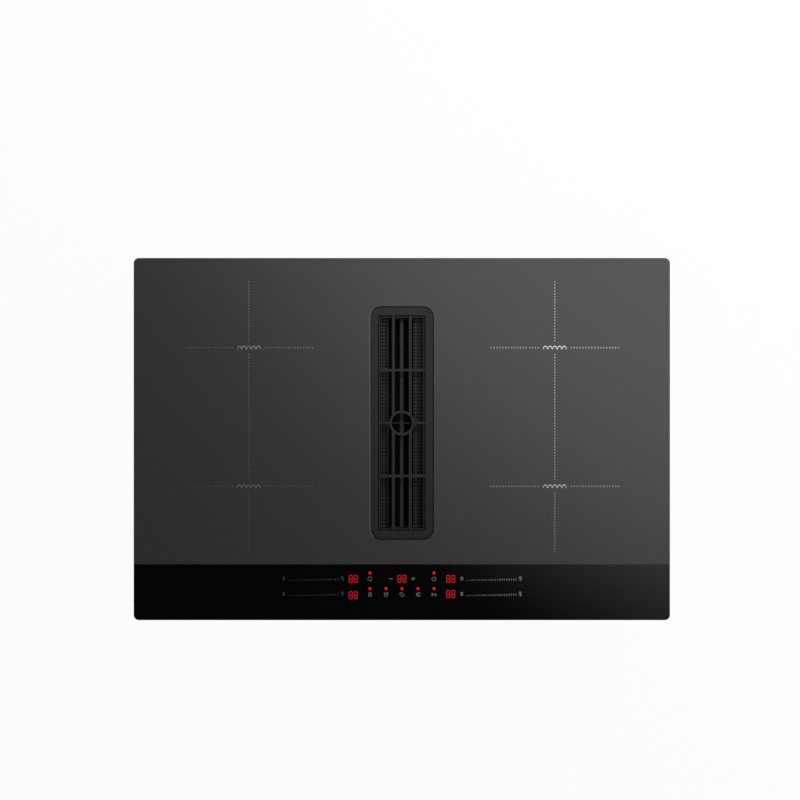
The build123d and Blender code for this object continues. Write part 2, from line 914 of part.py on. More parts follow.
def suction_base():
    wall = housing_wall
    base = at_level(housing_sketch(), base_height, 0)
    base += at_level(housing_sketch(housing_flange) - housing_sketch(), wall, z_deck - wall)
    base -= at_level(scroll_sketch(), base_height, wall)
    base -= at_level(offset(plenum_sketch(), amount=-wall), base_height, z_plenum_floor)
    bay_width = 2 * (plenum_half_width - wall)
    bay_rear = plenum_front + tray_length + tray_gap
    bay_length = bay_rear - plenum_front + 1
    bay_y = bay_rear - bay_length / 2
    bay_height = z_plenum_floor - 2 * wall
    base -= block(bay_width, bay_length, bay_height, 0, bay_y, wall)
    base -= block(bay_width - 2 * tray_rail, bay_length, wall, 0, bay_y, 0)
    base -= rounded_plate(
        drip_width, drip_length, plenum_corner_radius, 2 * wall, y=plenum_front + tray_length / 2,
        z=z_plenum_floor - wall,
    )
    base += joint_flange(channel_end - wall)
    return base - seam_holes(z_deck - wall, wall) - spigot_screw_holes()


def joint_flange(y):
    """Upright flange at the end of the channel, half of the joint with the spigot."""
    middle = (scroll_right + channel_left()) / 2
    width = scroll_right - channel_left()
    y_middle = y + housing_wall / 2
    outer_width = width + 2 * (housing_wall + joint_flange_width)
    flange = block(outer_width, housing_wall, z_deck, middle, y_middle)
    return flange - block(width, housing_wall, z_deck - housing_wall, middle, y_middle, housing_wall)


def spigot_screw_spots():
    """Screws through the upright flanges beside the channel: x and z of each."""
    reach = housing_wall + joint_flange_width / 2 + screw_play
    return [
        (x, z)
        for x in (channel_left() - reach, scroll_right + reach)
        for z in (base_height * 0.2, base_height * 0.8)
    ]


def along_y(shape, x, y, z):
    """Turns a shape made for screws, head up, so that its head looks to the rear."""
    return Pos(x, y, z) * Rot(-90, 0, 0) * shape


def spigot_screw_holes():
    hole = rod(screw_radius + screw_play, 6 * housing_wall, z=-3 * housing_wall)
    return [along_y(hole, x, channel_end, z) for x, z in spigot_screw_spots()]


def spigot_screws():
    y = channel_end + housing_wall
    return [along_y(screw(2 * housing_wall + 1), x, y, z) for x, z in spigot_screw_spots()]


def upright_section(width, height, radius, x, y, z):
    """A rounded rectangle that faces the rear, with its lower edge at z."""
    return Pos(x, y, z + height / 2) * Rot(90, 0, 0) * RectangleRounded(width, height, radius)


def outlet_spigot():
    """Channel that widens from the scroll to a spigot for flat duct."""
    middle = (scroll_right + channel_left()) / 2
    inner_width = scroll_right - channel_left()
    inner_height = z_deck - housing_wall
    rear = cutout_depth / 2 - spigot_rear_gap
    neck = rear - spigot_length
    out_width = duct_width - 2 * duct_wall - 2 * duct_play
    out_height = duct_height - 2 * duct_wall - 2 * duct_play
    wall = spigot_wall

    def skin(grow):
        corner = spigot_corner_radius - wall + grow
        start = upright_section(
            inner_width + 2 * grow, inner_height + 2 * grow, corner, middle, channel_end + spigot_lead,
            housing_wall - grow,
        )
        shrink = 2 * (wall - grow)
        end = upright_section(
            out_width - shrink, out_height - shrink, corner, spigot_centre_x, neck, wall - grow
        )
        return extrude(start, spigot_lead) + loft([start, end]) + extrude(end, -spigot_length)

    spigot = skin(wall) - skin(0)
    spigot += joint_flange(channel_end)
    return spigot - spigot_screw_holes()


def overflow_tray():
    """Drawer on two rails under the inlet: it catches spilt liquid and pulls out to the front."""
    width = 2 * (plenum_half_width - housing_wall - tray_gap)
    y = plenum_front + tray_length / 2
    tray = block(width, tray_length, tray_height, 0, y, housing_wall)
    tray -= block(
        width - 2 * tray_wall, tray_length - 2 * tray_wall, tray_height, 0, y, housing_wall + tray_wall
    )
    front_width = 2 * plenum_half_width - 2 * housing_wall
    tray += block(front_width, tray_front, tray_height, 0, plenum_front - tray_front / 2, housing_wall)
    grip = block(
        front_width / 2, tray_grip, tray_front, 0, plenum_front - tray_front - tray_grip / 2,
        housing_wall + tray_height - tray_front,
    )
    return tray + fillet(grip.edges().filter_by(Axis.Z).group_by(Axis.Y)[0], tray_grip / 3)


# ---- blower impeller and motor ----
def blade_sketch():
    """One backward-curved blade: two arcs, one for each face."""
    outer = impeller_radius - 1
    start = (blade_inner_radius, 0)
    sweep = radians(-blade_sweep)
    end = (outer * cos(sweep), outer * sin(sweep))
    bend = radians(-blade_sweep * 0.36)
    mid_radius = (blade_inner_radius + outer) / 2
    middle = (mid_radius * cos(bend), mid_radius * sin(bend))
    shift = blade_thickness
    leading = ThreePointArc(start, middle, end)
    trailing = ThreePointArc(
        (start[0], start[1] - shift), (middle[0] - shift * 0.7, middle[1] - shift * 0.7),
        (end[0] - shift, end[1]),
    )
    inner_cap = Line(start, (start[0], start[1] - shift))
    outer_cap = Line(end, (end[0] - shift, end[1]))
    return make_face(Curve() + [leading, trailing, inner_cap, outer_cap])


def blower_impeller():
    """Hub disc over the motor's rotor."""
    z_disc = impeller_floor_gap
    hub = tube(impeller_radius, rotor_radius, impeller_disc, z=z_disc)
    hub += tube(rotor_radius + hub_wall, rotor_radius, hub_height, z=z_disc)
    hub += tube(rotor_radius + hub_wall, motor_shaft_radius, hub_wall, z=z_disc + hub_height)
    return Pos(blower_x, blower_y, 0) * hub


def impeller_shroud():
    """Inlet ring and the curved blades under it, which are welded to the hub disc."""
    z_disc = impeller_floor_gap + impeller_disc
    z_shroud = impeller_floor_gap + impeller_height - impeller_disc
    shroud = tube(impeller_radius, blade_inner_radius + 1, impeller_disc, z=z_shroud)
    blade = at_level(blade_sketch(), z_shroud - z_disc, z_disc)
    blades = [Rot(0, 0, 360 / blade_count * step) * blade for step in range(blade_count)]
    return [Pos(blower_x, blower_y, 0) * piece for piece in (shroud, *blades)]


def motor_levels():
    z_stator = housing_wall + motor_bush_height + stator_plate
    z_rotor_top = impeller_floor_gap + hub_height
    return z_stator, z_rotor_top


def motor_rotor():
    z_stator, z_top = motor_levels()
    z_low = z_stator + rotor_wall
    cup = tube(rotor_radius, rotor_radius - rotor_wall, z_top - z_low, z=z_low)
    cup += tube(rotor_radius, motor_shaft_radius, rotor_wall, z=z_top - rotor_wall)
    return Pos(blower_x, blower_y, 0) * cup


def motor_shaft():
    z_stator, z_top = motor_levels()
    length = z_top + hub_wall - z_stator
    return rod(motor_shaft_radius, length, blower_x, blower_y, z_stator)


def motor_stator():
    z_stator = motor_levels()[0]
    core = tube(stator_radius, bearing_radius, stator_height, z=z_stator)
    slot = block(stator_radius / 2, stator_slot_width, stator_height, stator_radius, 0, z_stator)
    core -= [Rot(0, 0, 360 / stator_slots * step) * slot for step in range(stator_slots)]
    plate = rod(stator_plate_radius, stator_plate, z=z_stator - stator_plate)
    return Pos(blower_x, blower_y, 0) * (core + plate)


def motor_bearings():
    z_stator = motor_levels()[0]
    bore = motor_shaft_radius + running_gap
    return [
        tube(bearing_radius, bore, bearing_height, blower_x, blower_y, z)
        for z in (z_stator, z_stator + stator_height - bearing_height)
    ]


def driver_box():
    box = rounded_plate(
        driver_width, driver_depth, driver_corner_radius, driver_height, driver_x, driver_y, z_lid
    )
    return chamfer(box.edges().group_by(Axis.Z)[-1], driver_edge_chamfer)


# ---- cooking zones ----
def coil_winding(spot):
    ring = tube(winding_radius, winding_inner_radius, winding_height, *spot, z_winding)
    return chamfer(ring.edges().filter_by(GeomType.CIRCLE), 0.8)


def ferrite_places(shape):
    """Copies of a shape, made along +X from the zone's centre, round one zone."""
    return [Rot(0, 0, 360 / ferrite_count * step) * shape for step in range(ferrite_count)]


def ferrite_middle():
    return (winding_radius + winding_inner_radius) / 2


def coil_carrier(spot):
    plate = tube(carrier_radius, winding_inner_radius / 2, carrier_height)
    rim = winding_inner_radius - ferrite_play
    plate += tube(rim, sensor_radius + screw_play, winding_height / 2, z=carrier_height)
    play = 2 * ferrite_play
    pocket = block(
        ferrite_length + play, ferrite_width + play, ferrite_height + ferrite_play, ferrite_middle()
    )
    plate -= ferrite_places(pocket)
    return Pos(*spot, z_carrier) * plate


def ferrite_bars():
    bar = block(ferrite_length, ferrite_width, ferrite_height, ferrite_middle())
    return [Pos(*spot, z_carrier) * each for spot in zone_spots.values() for each in ferrite_places(bar)]


def mica_sheets():
    spots = zone_spots.values()
    return [tube(mica_radius, mica_hole_radius, mica_thickness, *spot, z_mica) for spot in spots]


def zone_sensors():
    """Temperature sensors that reach up to the glass through the middle of each zone."""
    height = z_glass - z_winding - winding_height / 2
    low = z_winding + winding_height / 2
    sensors = []
    for x, y in zone_spots.values():
        sensor = rod(sensor_radius, height, x, y, low)
        sensors.append(chamfer(sensor.edges().group_by(Axis.Z)[-1], 1.5))
    return sensors


def coil_tray(side):
    """Sheet that carries two coils over the power board, on feet bent down to the pan."""
    length = coil_tray_rear_y - coil_tray_front_y
    y = (coil_tray_rear_y + coil_tray_front_y) / 2
    x = side * zone_x
    tray = block(coil_tray_width, length, coil_tray_sheet, x, y, z_coil_tray)
    foot_height = z_coil_tray - z_pan_floor
    for edge in (-1, 1):
        foot_x = x + edge * (coil_tray_width - coil_tray_sheet) / 2
        for end in (-1, 1):
            foot_y = y + end * (length - coil_tray_foot) / 2
            tray += block(coil_tray_sheet, coil_tray_foot, foot_height, foot_x, foot_y, z_pan_floor)
    return tray - [rod(mica_hole_radius, coil_tray_sheet, side * zone_x, at, z_coil_tray)
                   for at in (zone_rear_y, zone_front_y)]


# ---- power electronics ----
def power_board(side):
    """Circuit board on posts, with its capacitors and chokes."""
    x = side * board_x
    board = block(board_width, board_length, board_sheet, x, board_y, z_board)
    for across in (-1, 1):
        post_x = x + across * (board_width / 2 - board_post_inset)
        for along in (-1, 1):
            post_y = board_y + along * (board_length / 2 - board_post_inset)
            board += rod(2 * screw_radius, board_standoff, post_x, post_y, z_pan_floor)
    z_top = z_board + board_sheet
    inner = x - side * board_width / 4
    for step in range(4):
        y = board_y + (step - 1.5) * board_length / 5
        board += rod(capacitor_radius, capacitor_height, inner, y, z_top)
    for step in range(2):
        y = board_y + (step - 0.5) * board_length / 2
        choke_x = inner - side * choke_size / 1.2
        board += block(choke_size, choke_size, capacitor_height, choke_x, y, z_top)
    return board


def heat_sink(side):
    """Finned extrusion along Y, in the stream of the cooling fan."""
    x = side * (board_x + board_width / 2 - heat_sink_width / 2 - heat_sink_inset)
    z_top = z_board + board_sheet
    sink = block(heat_sink_width, heat_sink_length, heat_sink_base, x, board_y, z_top)
    pitch = (heat_sink_width - fin_thickness) / (fin_count - 1)
    for step in range(fin_count):
        at = x + (step - (fin_count - 1) / 2) * pitch
        sink += block(fin_thickness, heat_sink_length, heat_sink_height, at, board_y, z_top)
    return sink


def fan_frame(side):
    frame = rounded_plate(fan_size, fan_size, fan_corner_radius, fan_height)
    frame -= rod(fan_bore_radius, fan_height)
    frame += rod(fan_hub_radius, fan_strut)
    for angle in (30, 150, 270):
        strut = block(fan_bore_radius, fan_strut, fan_strut, fan_bore_radius / 2 + fan_hub_radius / 4)
        frame += Rot(0, 0, angle) * strut
    frame += rod(fan_pin_radius, fan_height * 0.8)
    return Pos(side * fan_x, fan_y, z_pan_floor) * frame


def fan_rotor(side):
    """Hub with slanted blades, on the pin of its frame."""
    low = fan_strut + fan_strut / 4
    height = fan_height - low - 1
    hub = rod(fan_hub_radius, height, z=low)
    ring = tube(fan_rotor_radius, fan_hub_radius - 1, height, z=low)
    reach = fan_rotor_radius
    blade = Pos(reach / 2, 0, low + height / 2) * Rot(90 - fan_blade_angle, 0, 0) * Box(
        reach, height * 1.6, fan_blade_thickness
    )
    for step in range(fan_blades):
        hub += (Rot(0, 0, 360 / fan_blades * step) * blade) & ring
    hub -= rod(fan_pin_radius + running_gap, fan_height * 0.8 + 0.5)
    return Pos(side * fan_x, fan_y, z_pan_floor) * hub


# ---- touch controls ----
def touch_board():
    return block(touch_board_width, touch_board_depth, board_sheet, 0, touch_y, z_touch_board)


def touch_carrier():
    """Moulded channel under the touch board, on feet that stand on the pan."""
    margin = touch_carrier_margin
    width = touch_board_width + 2 * margin
    depth = touch_board_depth + 2 * margin
    z_low = z_touch_board - touch_carrier_sheet
    carrier = block(width, depth, touch_carrier_sheet + board_sheet, 0, touch_y, z_low)
    carrier -= block(touch_board_width, touch_board_depth, board_sheet, 0, touch_y, z_touch_board)
    for dx in (-1, 0, 1):
        foot = block(
            touch_foot_width, margin, z_low - z_pan_floor, dx * (width - touch_foot_width) / 2,
            touch_y - (depth - margin) / 2, z_pan_floor,
        )
        carrier += foot + Pos(0, depth - margin, 0) * foot
    return carrier


def display_modules():
    height = z_glass - z_touch_board - board_sheet
    return [
        block(display_width, display_depth, height, x, touch_y + dy, z_touch_board + board_sheet)
        for x, dy in display_spots
    ]


# ---- mains connection ----
def terminal_box():
    """Plastic box under the pan, open below, with the gland's hole in its rear wall."""
    z_low = z_pan - terminal_height
    corner = terminal_corner_radius
    box = rounded_plate(terminal_width, terminal_depth, corner, terminal_height, terminal_x, terminal_y, z_low)
    box -= rounded_plate(
        terminal_width - 2 * terminal_wall, terminal_depth - 2 * terminal_wall, corner - terminal_wall,
        terminal_height - terminal_wall, terminal_x, terminal_y, z_low,
    )
    y_wall = terminal_y + terminal_depth / 2 - terminal_wall / 2
    hole = Rot(90, 0, 0) * Cylinder(gland_radius - terminal_wall, 2 * terminal_wall)
    return box - Pos(terminal_x, y_wall, z_gland()) * hole


def z_gland():
    return z_pan - terminal_height / 2


def terminal_cover():
    z_low = z_pan - terminal_height - terminal_cover_sheet
    cover = rounded_plate(
        terminal_width, terminal_depth, terminal_corner_radius, terminal_cover_sheet,
        terminal_x, terminal_y, z_low,
    )
    return chamfer(cover.edges().group_by(Axis.Z)[0], terminal_cover_sheet / 3)


def terminal_block():
    """Row of screw terminals on the roof of the box: screws from below, wires from the back."""
    z_top = z_pan - terminal_wall
    y = terminal_y - terminal_depth / 8
    width = terminal_width - 6 * terminal_wall
    pitch = width / terminal_poles
    z_base = z_top - terminal_base_height
    base = block(width, terminal_depth / 3, terminal_base_height, terminal_x, y, z_base)
    for step in range(terminal_poles):
        x = terminal_x + (step - (terminal_poles - 1) / 2) * pitch
        z_low = z_top - terminal_pole_height
        base += block(pitch - terminal_pole_gap, terminal_depth / 4, terminal_pole_height, x, y, z_low)
        base -= rod(terminal_bore_radius, terminal_pole_height / 4, x, y, z_low)
        entry = Rot(90, 0, 0) * Cylinder(terminal_bore_radius, terminal_depth / 8)
        base -= Pos(x, y + terminal_depth / 8, z_low + terminal_pole_height / 2) * entry
    return base


def cable_gland():
    """Gland for the mains cable, clamped in the rear wall of the box."""
    y_wall = terminal_y + terminal_depth / 2
    body = Pos(0, 0, -terminal_wall) * rod(gland_radius - terminal_wall - screw_play, terminal_wall)
    body += rod(gland_radius, gland_length)
    body += extrude(RegularPolygon(gland_nut_radius, 6), gland_nut_length)
    body -= rod(gland_bore_radius, gland_length + 2 * terminal_wall, z=-2 * terminal_wall)
    return Pos(terminal_x, y_wall, z_gland()) * Rot(-90, 0, 0) * body


# ---- worktop clamps ----
def clamp_places():
    """Pivot of each clamp, the side it swings to and the way it points when folded."""
    reach = pan_width / 2 + clamp_pivot_reach
    return {
        "front_left": (-reach, -clamp_y, -1, 1),
        "front_right": (reach, -clamp_y, 1, 1),
        "rear_left": (-reach, clamp_y, -1, -1),
        "rear_right": (reach, clamp_y, 1, -1),
    }


def z_clamp():
    return z_glass - seal_thickness - clamp_bracket_height


def clamp_brackets():
    brackets = []
    sheet = clamp_bracket_sheet
    top = z_clamp() + clamp_bracket_height - support_flange
    height = top - z_clamp()
    for x, y, side, _ in clamp_places().values():
        wall_x = side * pan_width / 2
        plate = block(sheet, clamp_bracket_width, height, wall_x + side * sheet / 2, y, z_clamp())
        ear_x = wall_x + side * clamp_bracket_reach / 2
        for z in (z_clamp(), top - sheet):
            plate += block(clamp_bracket_reach, clamp_bracket_width, sheet, ear_x, y, z)
        brackets.append(plate - rod(clamp_screw_radius, height, x, y, z_clamp()))
    return brackets


def clamp_screws():
    top = z_clamp() + clamp_bracket_height - support_flange
    screws = []
    for x, y, _, _ in clamp_places().values():
        shank = rod(clamp_screw_radius, top - z_clamp(), x, y, z_clamp())
        head = extrude(RegularPolygon(2 * clamp_screw_radius, 6), 2 * clamp_screw_radius / 1.4)
        collar = rod(2 * clamp_screw_radius, clamp_arm_lift, x, y, z_clamp() + clamp_bracket_sheet)
        screws.append(shank + collar + Pos(x, y, z_clamp() - 2 * clamp_screw_radius / 1.4) * head)
    return screws


def clamp_arm(place):
    """Flat arm with a raised tip, folded along the pan until it is swung out under the worktop."""
    x, y, side, way = place
    half = clamp_arm_width / 2
    reach = clamp_arm_length - half
    arm = rod(half, clamp_arm_thickness)
    arm += block(clamp_arm_width, reach, clamp_arm_thickness, 0, reach / 2)
    arm += block(
        clamp_arm_width, clamp_arm_thickness, clamp_tip_height + clamp_arm_thickness, 0,
        reach - clamp_arm_thickness / 2,
    )
    arm -= rod(clamp_screw_radius + clamp_gap, clamp_arm_thickness)
    if way < 0:
        arm = Rot(0, 0, 180) * arm
    z = z_clamp() + clamp_bracket_sheet + clamp_arm_lift
    return Pos(x, y, z) * arm


# ---- the nodes ----
def main():
    save("glass_plate", glass_plate())
    save("worktop_seal", worktop_seal())
    save("glass_support_frame", *glass_support_frame())
    save("electronics_pan", *electronics_pan())
    save("vent_support", vent_support())
    save("inlet_frame", inlet_frame())
    save("joint_seal", joint_seal())
    save("grille", grille())
    save("grille_pads", *grille_pads())
    save("filter_frame", filter_frame())
    save("filter_panel_left", filter_panel(-1))
    save("filter_panel_right", filter_panel(1))
    save("filter_handle", filter_handle())
    save("filter_gutter", *filter_gutter())
    save("inlet_shaft", inlet_shaft())
    save("duct_gasket", duct_gasket())
    save("suction_lid", suction_lid())
    save("blower_deck", blower_deck())
    save("suction_base", suction_base())
    save("assembly_screws", *pan_screws(), *hanger_screws(), *seam_screws(), *spigot_screws())
    save("rubber_bushes", *rubber_bushes())
    save("outlet_spigot", outlet_spigot())
    save("overflow_tray", overflow_tray())
    save("blower_impeller", blower_impeller())
    save("impeller_shroud", *impeller_shroud())
    save("motor_rotor", motor_rotor())
    save("motor_shaft", motor_shaft())
    save("motor_stator", motor_stator())
    save("motor_bearings", *motor_bearings())
    save("driver_box", driver_box())
    for name, spot in zone_spots.items():
        save(f"coil_winding_{name}", coil_winding(spot))
    save("coil_carriers", *[coil_carrier(spot) for spot in zone_spots.values()])
    save("ferrite_bars", *ferrite_bars())
    save("mica_sheets", *mica_sheets())
    save("zone_sensors", *zone_sensors())
    save("coil_trays", coil_tray(-1), coil_tray(1))
    for name, side in (("left", -1), ("right", 1)):
        save(f"power_board_{name}", power_board(side))
        save(f"heat_sink_{name}", heat_sink(side))
        save(f"fan_frame_{name}", fan_frame(side))
        save(f"fan_rotor_{name}", fan_rotor(side))
    save("touch_board", touch_board())
    save("touch_carrier", touch_carrier())
    save("display_modules", *display_modules())
    save("terminal_box", terminal_box())
    save("terminal_cover", terminal_cover())
    save("terminal_block", terminal_block())
    save("cable_gland", cable_gland())
    save("clamp_brackets", *clamp_brackets())
    save("clamp_screws", *clamp_screws())
    for name, place in clamp_places().items():
        save(f"clamp_arm_{name}", clamp_arm(place))


main()
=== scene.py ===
import bpy
import bmesh
import json
from math import atan2, hypot, radians
from mathutils import Matrix, Vector


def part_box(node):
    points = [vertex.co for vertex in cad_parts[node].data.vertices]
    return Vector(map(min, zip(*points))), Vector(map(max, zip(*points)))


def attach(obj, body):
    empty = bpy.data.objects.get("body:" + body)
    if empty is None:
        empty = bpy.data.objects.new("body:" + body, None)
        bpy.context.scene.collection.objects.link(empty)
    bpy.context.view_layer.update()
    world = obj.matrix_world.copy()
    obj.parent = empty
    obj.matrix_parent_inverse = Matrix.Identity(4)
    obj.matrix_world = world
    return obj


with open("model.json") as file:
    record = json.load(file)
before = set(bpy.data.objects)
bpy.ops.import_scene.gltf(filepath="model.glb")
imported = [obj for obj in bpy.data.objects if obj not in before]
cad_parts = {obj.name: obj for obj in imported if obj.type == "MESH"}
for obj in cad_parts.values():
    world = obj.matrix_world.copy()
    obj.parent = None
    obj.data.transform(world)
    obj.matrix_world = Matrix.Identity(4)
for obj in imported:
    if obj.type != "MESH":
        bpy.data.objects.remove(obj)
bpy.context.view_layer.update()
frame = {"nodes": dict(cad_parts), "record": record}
nodes = frame["nodes"]
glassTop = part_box("glass_plate")[1].z
mm = 0.001
white = (1, 1, 1, 1)


# camera, floor and light
studio = {
    "cameraSpot": (-0.0026, 0.0561),  # the point of the glass under the lens
    "cameraHeight": 4.0,  # above the glass
    "frameWidth": 1.1486,  # what the picture takes in at the glass
    "sensorWidth": 36,
    "clipEnd": 50,
    "floorSize": 14,
    "floorGrey": 0.92,
    "floorWhite": 0.955,  # share of the floor that stays white in a shadow
    "ambient": 0.08,
    "duskStart": 0.25,  # the studio's walls begin to darken at this height
    "duskEnd": 0.8,  # and straight above it is dark
    "softboxSpot": (1.18, 1.388),  # a round softbox over the back right of the glass
    "softboxHeight": 0.5,
    "softboxLevel": 0.97,
    "softboxRadius": 1.99,  # its light starts at the rim
    "softboxFull": 1.451,  # and is full inside this radius
    "softboxSides": 64,
    "keySpot": (1.19, 1.21, 2.7),  # the light that casts the shadows in the vent
    "keySize": 0.4,
    "keyWatts": 36,
    "fillSpot": (-2.6, -2.2, 1.6),
    "fillSize": 1.8,
    "fillWatts": 14,
    "lampAim": (0, 0, 0.1),
}


def makeNode(tree, kind, values=None, **settings):
    node = tree.nodes.new(kind)
    for name, value in settings.items():
        setattr(node, name, value)
    for name, value in (values or {}).items():
        if isinstance(value, bpy.types.NodeSocket):
            tree.links.new(value, node.inputs[name])
        else:
            node.inputs[name].default_value = value
    return node


def combine(tree, operation, first, second, **settings):
    return makeNode(tree, "ShaderNodeMath", {0: first, 1: second}, operation=operation, **settings).outputs[0]


def spread(tree, source, start, end, low=0.0, high=1.0, **settings):
    values = {"Value": source, "From Min": start, "From Max": end, "To Min": low, "To Max": high}
    return makeNode(tree, "ShaderNodeMapRange", values, **settings).outputs[0]


def mixColour(tree, share, first, second):
    return makeNode(tree, "ShaderNodeMix", {0: share, 6: first, 7: second}, data_type="RGBA").outputs[2]


def mixValue(tree, share, first, second):
    return makeNode(tree, "ShaderNodeMix", {0: share, 2: first, 3: second}, data_type="FLOAT").outputs[0]


def mixShader(tree, share, first, second):
    return makeNode(tree, "ShaderNodeMixShader", {0: share, 1: first, 2: second}).outputs[0]


def textureSpot(tree, space="Object"):
    return makeNode(tree, "ShaderNodeTexCoord").outputs[space]


def apart(tree, vector):
    return makeNode(tree, "ShaderNodeSeparateXYZ", {0: vector}).outputs


def faceNormal(tree):
    return apart(tree, makeNode(tree, "ShaderNodeNewGeometry").outputs["True Normal"])


def fromBehind(tree):
    return makeNode(tree, "ShaderNodeNewGeometry").outputs["Backfacing"]


def seenDirectly(tree):  # by the camera, in a mirror or through glass
    rays = makeNode(tree, "ShaderNodeLightPath").outputs
    seen = combine(tree, "ADD", rays["Is Camera Ray"], rays["Is Glossy Ray"])
    return combine(tree, "ADD", seen, rays["Is Transmission Ray"], use_clamp=True)


def emptyMaterial(name):
    material = bpy.data.materials.new(name)
    material.use_nodes = True
    material.node_tree.nodes.clear()
    return material, material.node_tree


def addObject(name, data):
    holder = bpy.data.objects.new(name, data)
    bpy.context.scene.collection.objects.link(holder)
    return holder


def addMesh(name, bm, material):
    mesh = bpy.data.meshes.new(name)
    bm.to_mesh(mesh)
    bm.free()
    mesh.materials.append(material)
    return addObject(name, mesh)


def makeCamera():
    cam = bpy.data.cameras.new("camera")
    cam.sensor_width = studio["sensorWidth"]
    cam.lens = studio["sensorWidth"] * studio["cameraHeight"] / studio["frameWidth"]
    cam.clip_end = studio["clipEnd"]
    holder = addObject("camera", cam)
    holder.location = (*studio["cameraSpot"], glassTop + studio["cameraHeight"])
    bpy.context.scene.camera = holder


def makeFloor():
    material, tree = emptyMaterial("paleFloor")
    grey = (*[studio["floorGrey"]] * 3, 1)
    diffuse = makeNode(tree, "ShaderNodeBsdfDiffuse", {"Color": grey}).outputs[0]
    glow = makeNode(tree, "ShaderNodeEmission", {"Color": white, "Strength": 1.0}).outputs[0]
    clear = makeNode(tree, "ShaderNodeBsdfTransparent").outputs[0]
    share = combine(tree, "MULTIPLY", seenDirectly(tree), studio["floorWhite"])
    top = mixShader(tree, share, diffuse, glow)
    surface = mixShader(tree, fromBehind(tree), top, clear)  # see-through from below
    makeNode(tree, "ShaderNodeOutputMaterial", {0: surface})
    bm = bmesh.new()
    bmesh.ops.create_grid(bm, x_segments=1, y_segments=1, size=studio["floorSize"] / 2)
    floor = addMesh("floor", bm, material)


def makeWorld():
    world = bpy.data.worlds.new("studio")
    bpy.context.scene.world = world
    world.use_nodes = True
    tree = world.node_tree
    tree.nodes.clear()
    height = apart(tree, textureSpot(tree, "Generated"))["Z"]
    walls = spread(tree, height, studio["duskStart"], studio["duskEnd"], 1.0, 0.0, interpolation_type="SMOOTHSTEP")
    rays = makeNode(tree, "ShaderNodeLightPath").outputs
    backdrop = combine(tree, "MAXIMUM", walls, rays["Is Camera Ray"])
    grey = (*[studio["ambient"]] * 3, 1)
    colour = mixColour(tree, seenDirectly(tree), grey, backdrop)
    back = makeNode(tree, "ShaderNodeBackground", {"Color": colour, "Strength": 1.0}).outputs[0]
    makeNode(tree, "ShaderNodeOutputWorld", {0: back})


def makeSoftbox():
    centre = (*studio["softboxSpot"], glassTop + studio["softboxHeight"])
    material, tree = emptyMaterial("softboxGlow")
    values = {"Color": white, "Strength": studio["softboxLevel"]}
    glow = makeNode(tree, "ShaderNodeEmission", values).outputs[0]
    clear = makeNode(tree, "ShaderNodeBsdfTransparent").outputs[0]
    values = {0: textureSpot(tree), 1: centre}
    reach = makeNode(tree, "ShaderNodeVectorMath", values, operation="DISTANCE").outputs["Value"]
    rim, full = studio["softboxRadius"], studio["softboxFull"]
    fade = mixShader(tree, spread(tree, reach, rim, full, interpolation_type="SMOOTHSTEP"), clear, glow)
    surface = mixShader(tree, fromBehind(tree), fade, clear)
    makeNode(tree, "ShaderNodeOutputMaterial", {0: surface})
    bm = bmesh.new()
    bmesh.ops.create_circle(bm, cap_ends=True, segments=studio["softboxSides"], radius=rim)
    bmesh.ops.reverse_faces(bm, faces=bm.faces)  # it shines down
    bmesh.ops.translate(bm, verts=bm.verts, vec=centre)
    softbox = addMesh("softbox", bm, material)
    softbox.visible_camera = False
    softbox.visible_shadow = False


def makeLamp(name):
    spot = Vector(studio[name + "Spot"])
    light = bpy.data.lights.new(name, "AREA")
    light.shape = "SQUARE"
    light.size = studio[name + "Size"]
    light.energy = studio[name + "Watts"]
    holder = addObject(name, light)
    holder.location = spot
    holder.rotation_euler = (Vector(studio["lampAim"]) - spot).to_track_quat("-Z", "Y").to_euler()
    holder.visible_camera = False
    holder.visible_glossy = False


bpy.context.scene.view_settings.view_transform = "Standard"
makeCamera()
makeFloor()
makeWorld()
makeSoftbox()
makeLamp("key")
makeLamp("fill")
print("studio ready")


# finishes
noiseRange = (0.3, 0.7)  # nearly all of a noise texture's values lie between these


def newMaterial(name, colour, roughness, metallic=0.0, **more):
    material = bpy.data.materials.new(name)
    material.use_nodes = True
    shader = material.node_tree.nodes["Principled BSDF"]
    shader.inputs["Base Color"].default_value = (*colour, 1)
    shader.inputs["Roughness"].default_value = roughness
    shader.inputs["Metallic"].default_value = metallic
    for socket, value in more.items():
        shader.inputs[socket.replace("_", " ")].default_value = value
    return material, material.node_tree, shader


def objectPlace(tree, stretch=(1, 1, 1)):
    return makeNode(tree, "ShaderNodeMapping", {0: textureSpot(tree), "Scale": stretch}).outputs[0]


def noise(tree, place, scale, detail=2.0, roughness=0.5):
    values = {"Vector": place, "Scale": scale, "Detail": detail, "Roughness": roughness}
    return makeNode(tree, "ShaderNodeTexNoise", values).outputs[0]


def varyColour(tree, shader, source, low, high, span=noiseRange):
    ramp = makeNode(tree, "ShaderNodeValToRGB", {0: source})
    for stop, position, colour in zip(ramp.color_ramp.elements, span, (low, high)):
        stop.position = position
        stop.color = (*colour, 1)
    tree.links.new(ramp.outputs[0], shader.inputs["Base Color"])


def varyRoughness(tree, shader, source, low, high, span=noiseRange):
    tree.links.new(spread(tree, source, *span, low, high), shader.inputs["Roughness"])


def addBump(tree, shader, source, strength, depth):
    values = {"Height": source, "Strength": strength, "Distance": depth}
    tree.links.new(makeNode(tree, "ShaderNodeBump", values).outputs[0], shader.inputs["Normal"])


def shaded(colour, share):
    return [channel * share for channel in colour]


